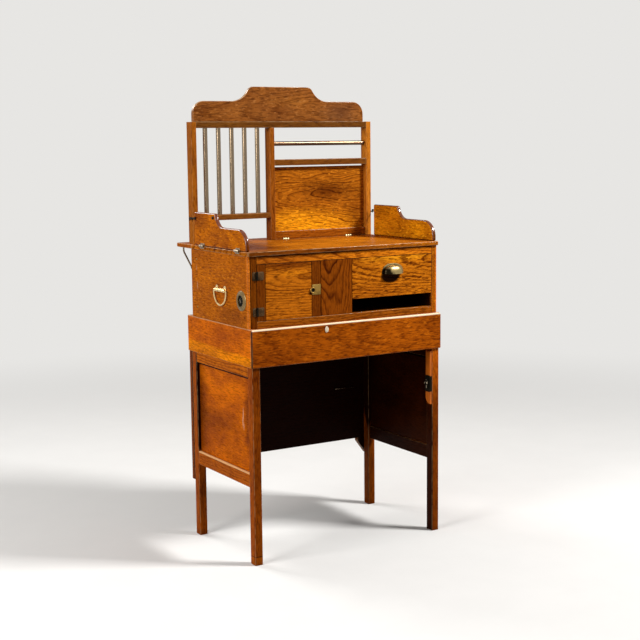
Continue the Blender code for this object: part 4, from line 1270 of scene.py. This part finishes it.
class FitLocks(bpy.types.Operator):
    """The door's lock, the lock on the case's side and the keyhole drop of the till drawer"""

    bl_idname = "desk.fit_locks"
    bl_label = "Fit the locks"

    door_keyhole = (-0.1293, 0.8672)
    door_hole = 0.0066
    door_plate = 0.0013
    # The bottom of the door's keyhole, painted near black as shade for the depth of the hole, and the pin in it
    # that the key turns on
    door_floor, door_pin = 0.0018, 0.0026
    side_keyhole = (-0.1975, 0.8450)
    side_hole = 0.0178
    side_floor = 0.0007
    drop_place = (-0.0911, 0.7398)
    drop_half_width = 0.0066
    drop_depth = 0.0048

    def execute(self, context):
        sizes = context.scene.desk_hardware
        self.door_lock(sizes)
        self.side_lock(sizes)
        self.keyhole_drop(sizes)
        return {"FINISHED"}

    def door_lock(self, sizes):
        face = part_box("door_panel")[0].y
        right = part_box("door_lock_stile")[1].x
        x, z = self.door_keyhole
        radius, hole = sizes.lock_rose, self.door_hole
        keyhole = on_front(x, face - HAIR, z)
        outline = clipped(x - radius * 0.10, right - 0.0012, 0.8518, 0.8852, 0.0012)
        parts = [(plate(outline, self.door_plate), on_front(0, face - HAIR, 0))]
        for height in (0.8555, 0.8815):
            place = on_front(-0.1068, face - self.door_plate - HAIR, height)
            parts.append((screw(sizes.screw * 0.62, 35.0), place))
        ring = [(hole, 0.0), (radius, 0.0), (radius, 0.0032), (radius * 0.95, 0.0048)]
        ring += [(radius * 0.86, 0.0056), (hole + 0.0010, 0.0058), (hole, 0.0050)]
        parts.append((lathe(ring, 40, True), keyhole))
        make_piece("door_lock_plate", parts, "tarnished_brass", "door")
        floor, pin = self.door_floor, self.door_pin
        core = [(hole - HAIR, 0.0), (hole - HAIR, floor), (pin * 0.62, floor)]
        core += [(pin * 0.60, pin * 0.9), (pin * 0.3, pin), (0, pin)]
        make_piece("door_lock_core", [(lathe(core, 24), keyhole)], "sooty_iron", "door")

    def side_lock(self, sizes):
        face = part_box("case_side_left")[0].x
        place = on_side(-1, face - HAIR, *self.side_keyhole)
        radius, hole, floor = sizes.side_rose, self.side_hole, self.side_floor
        rose = [(hole, 0.0), (radius, 0.0), (radius, 0.0012), (radius * 0.965, 0.0022)]
        rose += [(radius * 0.90, 0.0024), (radius * 0.86, 0.0032), (radius * 0.72, 0.0046)]
        rose += [(hole + 0.0022, 0.0056), (hole + 0.0006, 0.0052), (hole, 0.0042)]
        make_piece("side_lock_rose", [(lathe(rose, 56, True), place)], "grey_brass", "desk")
        core = [(hole - HAIR, 0.0), (hole - HAIR, floor), (0.0105, floor)]
        core += [(0.0102, 0.0030), (0.0092, 0.0036), (0, 0.0037)]
        make_piece("side_lock_cylinder", [(lathe(core, 40), place)], "sooty_iron", "desk")
        slot = plate(clipped(-0.0012, 0.0012, -0.0062, 0.0062, 0.0004), 0.0008, 0.0002)
        turned = Matrix.Translation((0, 0, 0.0036)) @ Matrix.Rotation(math.radians(35), 4, "Z")
        glints = [(slot, place @ turned)]
        for turn in (70, 190, 310):
            angle = math.radians(turn)
            spot = Matrix.Translation((0.0142 * math.cos(angle), 0.0142 * math.sin(angle), floor))
            glints.append((screw(0.0019, turn), place @ spot))
        make_piece("side_lock_screws", glints, "bright_steel", "desk")

    def keyhole_drop(self, sizes):
        """A domed bone drop, narrower above, and the brass pin that it turns on."""
        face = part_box("till_front")[0].y
        x, z = self.drop_place
        high = sizes.drop_height
        part = bmesh.new()
        rows, layers = [], 7
        for layer in range(layers):
            tilt = layer / layers * math.pi / 2
            scale, out = math.cos(tilt) ** 0.7, self.drop_depth * math.sin(tilt)
            row = []
            for turn in round_turns(40):
                narrow = 1.0 - 0.26 * max(0.0, math.sin(turn)) ** 2
                across = self.drop_half_width * narrow * math.cos(turn) * scale
                row.append(part.verts.new((across, high / 2 * math.sin(turn) * scale, out)))
            rows.append(row)
        rows.append([part.verts.new((0, 0, self.drop_depth))])
        skin(part, rows, True)
        part.faces.new(rows[0])
        make_piece("till_keyhole_drop", [(part, on_front(x, face - HAIR, z))], bone_finish(), "till")
        pin = lathe([(0.0014, 0.0), (0.0014, 0.0044), (0.0010, 0.0050), (0, 0.0052)], 16)
        place = on_front(x, face - HAIR, z + high * 0.30)
        make_piece("till_keyhole_pin", [(pin, place)], "old_brass", "till")


class FitGalleryHinges(bpy.types.Operator):
    """Two steel hinges under each gallery, the stud on its face and the pin that its hook drops over"""

    bl_idname = "desk.fit_gallery_hinges"
    bl_label = "Fit the gallery hinges"

    places = (("rear", 0.0665), ("front", -0.1797))
    thickness = 0.0012
    leaf = 0.0085
    clip = 0.0012
    # Room between the two leaves and between the knuckles
    ease = 0.0006
    gap = 0.0002
    stud_place = (-0.0114, 1.0958)

    def execute(self, context):
        for side, way in SIDES:
            for row, along in self.places:
                self.hinge(context.scene.desk_hardware, side, way, row, along)
            self.stud(side, way)
            self.pin(side, way)
        return {"FINISHED"}

    def hinge(self, sizes, side, way, row, along):
        gallery = f"gallery_{side}"
        axis_x, _, level = joint_place(f"gallery_hinge_{side}")
        gallery_face, counter_face = outer_face(gallery, way), outer_face("counter_top", way)
        half = sizes.gallery_leaf_length / 2
        leaf = plate(clipped(-half, half, 0.0, self.leaf, self.clip), self.thickness)
        upper = [(leaf, on_side(way, gallery_face + way * HAIR, along, level + self.ease))]
        leaf = plate(clipped(-half, half, -self.leaf, -self.ease, self.clip), self.thickness)
        lower = [(leaf, on_side(way, counter_face + way * HAIR, along, level))]
        for offset in (-0.62, 0.62):
            place = on_side(way, gallery_face + way * self.thickness, along + offset * half, level + 0.0066)
            upper.append((screw(0.0016, 60.0 * offset), place))
            place = on_side(way, counter_face + way * self.thickness, along + offset * half, level - 0.0064)
            lower.append((screw(0.0016, -40.0 * offset), place))
        axis = facing((axis_x, along, level), (0, 0, 1), (1, 0, 0))
        ends, middle = knuckles(sizes.gallery_knuckle, half, self.gap, axis)
        make_piece(f"gallery_hinge_{side}_{row}_leaf", upper + ends, "bright_steel", gallery)
        make_piece(f"counter_hinge_{side}_{row}_leaf", lower + middle, "bright_steel", "desk")

    def stud(self, side, way):
        gallery = f"gallery_{side}"
        stud = lathe([(0.0058, 0.0), (0.0058, 0.0008), (0.0050, 0.0022), (0.0032, 0.0034), (0, 0.0039)], 28)
        place = on_side(way, outer_face(gallery, way) + way * HAIR, *self.stud_place)
        make_piece(f"gallery_stud_{side}", [(stud, place)], "sooty_iron", gallery)

    def pin(self, side, way):
        """A peg in the screen's upright, under the arm of the hook."""
        low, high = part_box(f"hook_{side}")
        face = outer_face(f"screen_stile_{side}", way)
        reach = abs((low.x + high.x) / 2 - face) + 0.0035
        profile = [(0.0034, 0.0), (0.0034, 0.0007), (0.0017, 0.0013)]
        profile += [(0.0015, reach - 0.001), (0.0011, reach), (0, reach + 0.0002)]
        place = on_side(way, face + way * HAIR, high.y - 0.0066, low.z + 0.0046)
        make_piece(f"hook_pin_{side}", [(lathe(profile, 18), place)], "sooty_iron", "desk")


class FitFlapHinges(bpy.types.Operator):
    """Two small hinges at the foot of the flap's batten"""

    bl_idname = "desk.fit_flap_hinges"
    bl_label = "Fit the flap hinges"

    places = (("left", 0.004), ("right", 0.262))
    thickness = 0.00024
    knuckle = 0.0055
    clip = 0.0014
    ease = 0.00002
    gap = 0.0009

    def execute(self, context):
        sizes = context.scene.desk_hardware
        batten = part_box("flap_batten")[0]
        face, under = batten.y, batten.z - self.thickness - self.ease
        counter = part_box("counter_top")[1].z
        half, depth = sizes.flap_leaf_width / 2, sizes.flap_leaf_depth
        axis_y, level = joint_place("flap_hinge")[1:]
        for side, across in self.places:
            axis = facing((across, axis_y, level), (0, 1, 0), (0, 0, 1))
            lower, upper = knuckles(self.knuckle, half, self.gap, axis)
            leaf = plate(clipped(-half, half, -depth, -0.0008, self.clip), self.thickness, 0.0001, 1)
            lower.append((leaf, on_top(across, face, counter + self.ease)))
            leaf = plate(clipped(-half, half, 0.0004, 0.0110, self.clip), self.thickness, 0.0001, 1)
            upper.append((leaf, on_top(across, face, under)))
            for way in (-1, 1):
                flush = lathe([(0.0024, 0.0), (0.0022, 0.0001), (0, 0.00012)], 18)
                place = on_top(across + way * half * 0.6, face - depth * 0.66, counter + self.thickness)
                lower.append((flush, place))
            make_piece(f"flap_hinge_{side}_counter_leaf", lower, "pale_brass", "desk")
            make_piece(f"flap_hinge_{side}_flap_leaf", upper, "pale_brass", "flap")
        return {"FINISHED"}


class FitStand(bpy.types.Operator):
    """The catch on the front right leg, the bar behind the kneehole and the eyes that the stays hook into"""

    bl_idname = "desk.fit_stand"
    bl_label = "Fit the stand's hardware"

    pad_half_width = 0.0135
    pad_thickness = 0.0065
    pad_top, pad_bend, pad_foot = 0.628, 0.468, 0.446
    bar_ends = (0.206, 0.286)
    bar_height = 0.445
    bar_bend = 0.004

    def execute(self, context):
        self.catch(context.scene.desk_hardware)
        self.bar()
        self.eyes()
        return {"FINISHED"}

    def catch(self, sizes):
        """An oak pad that narrows to a curved foot, and on it an iron box with a steel lever."""
        low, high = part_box("leg_front_right")
        place = on_side(-1, low.x - HAIR, (low.y + high.y) / 2, 0.0)
        half, bend = self.pad_half_width, self.pad_bend
        drop = bend - self.pad_foot
        turns = [math.pi / 40 * step for step in range(20)]
        outline = [(half, self.pad_top), (-half, self.pad_top)]
        outline += [(half - 2 * half * math.cos(turn), bend - drop * math.sin(turn)) for turn in turns]
        outline.append((half, self.pad_foot))
        pad = plate(outline, self.pad_thickness, 0.0016, 3)
        make_piece("leg_catch_pad", [(pad, place)], self.pad_finish(), "desk")
        front = place @ Matrix.Translation((0, 0, self.pad_thickness + HAIR))
        box = [
            (plate(clipped(-0.0145, 0.0150, 0.4876, 0.5438, 0.003), 0.0088), place),
            (plate(clipped(-0.0075, 0.0075, 0.4970, 0.5350, 0.002), 0.0085, 0.0012), front),
        ]
        for up in (0.4922, 0.5393):
            for across in (-0.0086, 0.0086):
                spot = Matrix.Translation((across, up, 0.0022))
                box.append((screw(sizes.screw * 0.75, 400 * across / 0.011), front @ spot))
        make_piece("leg_catch", box, "sooty_iron", "desk")
        bow = arc_points((0, 0.5150, 0.0092), 0.0075, 5, 175, 22, (1, 0, 0), (0, 1, 0))
        lever = [
            (tube(bow, 0.0017), front),
            (tube([(0.0046, 0.5120, 0.0096), (0.0044, 0.5020, 0.0096)], 0.0015), front),
            (screw(0.0022, 15.0), front @ Matrix.Translation((0.001, 0.5290, 0.0085))),
        ]
        make_piece("leg_catch_lever", lever, "bright_steel", "desk")

    def pad_finish(self):
        tone = stained(bpy.context.scene.desk_oak.amber_oak, (1.70, 1.70, 2.5))
        make = new_finish("leg_catch_pad_oak")
        grain = make.fade(make.cloud((260.0, 260.0, 9.0), 2.0, 3.0), 0.42, 0.68)
        grime = make.fade(make.cloud((30.0, 30.0, 22.0), 8.0, 4.0), 0.45, 0.75)
        base = make.blend(grain * 0.5, tone, stained(tone, 0.55))
        base = make.blend(grime * 0.45, base, stained(tone, 0.40))
        return make.finish(base, grime * 0.1 + 0.42, 1.0 - grain, 0.0003, gloss=0.3)

    def bar(self):
        place = on_front(0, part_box("back_panel")[0].y - HAIR, self.bar_height)
        start, end = self.bar_ends
        bend = self.bar_bend
        route = [(start, 0, 0.0)] + arc_points((start + bend, 0, bend), bend, 180, 90, 5)
        route += arc_points((end - bend, 0, bend), bend, 90, 0, 5) + [(end, 0, 0.0)]
        make_piece("kneehole_bar", [(tube(route, 0.0014), place)], "brushed_steel", "desk")

    def eyes(self):
        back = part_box("case_back")[1].y
        foot = [(0.0062, 0.0), (0.0062, 0.0007), (0.0046, 0.0020), (0.0036, 0.0030), (0.0036, 0.0046)]
        parts = []
        for side, _ in SIDES:
            low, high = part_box(f"brace_{side}")
            across = (low.x + high.x) / 2
            up = low.z + 0.003
            parts.append((lathe(foot, 22), on_back(across, back + HAIR, up)))
            ring = arc_points((across, back + 0.0080, up - 0.0002), 0.0052, 20, 340, 24)
            parts.append((tube(ring, 0.0013, 10), Matrix.Identity(4)))
        make_piece("stay_eyes", parts, "black_iron", "desk")


class FitScrews(bpy.types.Operator):
    """Screws that hold the boards: case sides, back panel, case back and crest"""

    bl_idname = "desk.fit_screws"
    bl_label = "Fit the screws"

    # How large the screws of thinner boards are, as a share of a usual one
    small = 0.8

    def execute(self, context):
        usual = context.scene.desk_hardware.screw
        radius = usual * self.small
        parts = []
        for side, way in SIDES:
            face = outer_face(f"case_side_{side}", way)
            for along, up, turn in ((0.1123, 0.9533, 10.0), (0.1123, 0.795, 50.0)):
                parts.append((screw(radius, turn), on_side(way, face + way * HAIR, along, up)))
        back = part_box("back_panel")[1].y + HAIR
        for across in (-0.338, -0.115, 0.115, 0.338):
            for up in (0.30, 0.46, 0.60):
                parts.append((screw(usual, 200 * across + 300 * up), on_back(across, back, up)))
        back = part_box("case_back")[1].y + HAIR
        for across in (-0.31, -0.10, 0.10, 0.31):
            for up in (0.775, 0.965):
                parts.append((screw(radius, 170 * across + 500 * up), on_back(across, back, up)))
        low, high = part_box("crest")
        for across in (-0.28, 0.0, 0.28):
            parts.append((screw(radius, 300 * across), on_back(across, high.y + HAIR, low.z + 0.012)))
        make_piece("board_screws", parts, "tarnished_brass", "desk")
        return {"FINISHED"}


class SetStage(bpy.types.Operator):
    """A pale floor that fades into the background, soft lights and the camera"""

    bl_idname = "desk.set_stage"
    bl_label = "Set the stage"

    # Each lamp's name, place, setting for its power, and size
    lamps = (
        ("key_light", (2.5, -2.3, 3.8), "key", 0.85),
        ("side_light", (-3.4, -0.7, 2.1), "side", 1.7),
        ("back_light", (-1.1, 2.6, 2.9), "back", 1.4),
    )
    lit_point = Vector((0, 0, 0.85))
    floor_radius = 14.0
    # How far out the floor starts to fade into the background, and where it has gone over to it
    fade_start, fade_end = 1.2, 4.2
    sensor_width = 36.0

    def execute(self, context):
        settings = context.scene.desk_stage
        context.scene.view_settings.view_transform = "Standard"
        self.floor(settings)
        self.world(context.scene, settings)
        for name, place, power, size in self.lamps:
            self.light(name, place, getattr(settings, power), size)
        data = bpy.data.cameras.new("camera")
        data.lens = settings.lens
        data.sensor_width = self.sensor_width
        camera = bpy.data.objects.new("camera", data)
        camera.location = settings.camera_place
        camera.rotation_euler = settings.camera_turn
        context.scene.collection.objects.link(camera)
        context.scene.camera = camera
        return {"FINISHED"}

    def floor(self, settings):
        part = bmesh.new()
        bmesh.ops.create_circle(part, cap_ends=True, segments=96, radius=self.floor_radius)
        mesh = bpy.data.meshes.new("floor")
        part.to_mesh(mesh)
        part.free()
        floor = bpy.data.objects.new("floor", mesh)
        bpy.context.scene.collection.objects.link(floor)
        make = new_finish("pale_floor")
        speckle = make.fade(make.cloud((5.0, 5.0, 5.0), 1.0, 6.0, 0.65), 0.30, 0.72)
        tint = settings.floor
        seen = make.seen_or_mirrored()
        base = make.blend(speckle, stained(tint, 0.985), stained(tint, 1.01))
        base = make.blend(seen, stained(tint, settings.bounce), base)
        make.finish(base, speckle * 0.1 + 0.62, gloss=0.15)
        away = make.vector("LENGTH", make.place, output="Value")
        glow = make.node("ShaderNodeEmission", {}, {"Color": tuple(settings.background)})
        share = make.fade(away, self.fade_start, self.fade_end) * seen
        painted = Socket(make, make.shader.outputs[0])
        mixed = make.node("ShaderNodeMixShader", {}, {0: share, 1: painted, 2: glow})
        make.feed(make.tree.nodes["Material Output"], {"Surface": mixed})
        mesh.materials.append(make.owner)

    def world(self, scene, settings):
        world = bpy.data.worlds.new("studio")
        world.use_nodes = True
        scene.world = world
        make = Recipe(world)
        around = {"Color": (1.0, 0.985, 0.96), "Strength": settings.ambient}
        lit = make.node("ShaderNodeBackground", {}, around)
        pale = make.node("ShaderNodeBackground", {}, {"Color": tuple(settings.background), "Strength": 1.0})
        mixed = make.node("ShaderNodeMixShader", {}, {0: make.seen_or_mirrored(), 1: lit, 2: pale})
        make.feed(make.tree.nodes["World Output"], {"Surface": mixed})

    def light(self, name, place, power, size):
        data = bpy.data.lights.new(name, "AREA")
        data.energy = power
        data.size = size
        lamp = bpy.data.objects.new(name, data)
        lamp.location = place
        lamp.rotation_euler = (self.lit_point - Vector(place)).to_track_quat("-Z", "Y").to_euler()
        bpy.context.scene.collection.objects.link(lamp)


GROUPS = (
    ("desk_oak", OakColours),
    ("desk_metal", MetalColours),
    ("desk_edges", EdgeSizes),
    ("desk_hardware", HardwareSizes),
    ("desk_stage", StageSettings),
)
OPERATORS = (
    SetStage,
    DressStand,
    DressTill,
    DressCase,
    DressDoor,
    DressDrawer,
    DressCounter,
    DressGalleries,
    DressScreen,
    DressFlap,
    DressMetal,
    FitPull,
    FitDoorHinges,
    FitLocks,
    FitGalleryHinges,
    FitFlapHinges,
    FitStand,
    FitScrews,
)


class DeskPanel(bpy.types.Panel):
    """Buttons and settings for the desk"""

    bl_idname = "VIEW3D_PT_desk"
    bl_label = "Teller's desk"
    bl_space_type = "VIEW_3D"
    bl_region_type = "UI"
    bl_category = "Desk"

    def draw(self, context):
        for operator in OPERATORS:
            self.layout.operator(operator.bl_idname)
        for name, group in GROUPS:
            box = self.layout.box()
            for prop in group.__annotations__:
                box.prop(getattr(context.scene, name), prop)


def register():
    for name, group in GROUPS:
        bpy.utils.register_class(group)
        setattr(bpy.types.Scene, name, PointerProperty(type=group))
    for operator in OPERATORS:
        bpy.utils.register_class(operator)
    bpy.utils.register_class(DeskPanel)


def unregister():
    bpy.utils.unregister_class(DeskPanel)
    for operator in reversed(OPERATORS):
        bpy.utils.unregister_class(operator)
    for name, group in reversed(GROUPS):
        delattr(bpy.types.Scene, name)
        bpy.utils.unregister_class(group)


def main():
    register()
    spare = [thing for thing in bpy.context.scene.objects if thing.name in ("Cube", "Light", "Camera")]
    for thing in spare:
        bpy.data.objects.remove(thing)
    for operator in OPERATORS:
        group, name = operator.bl_idname.split(".")
        getattr(getattr(bpy.ops, group), name)()


if __name__ == "__main__":
    main()
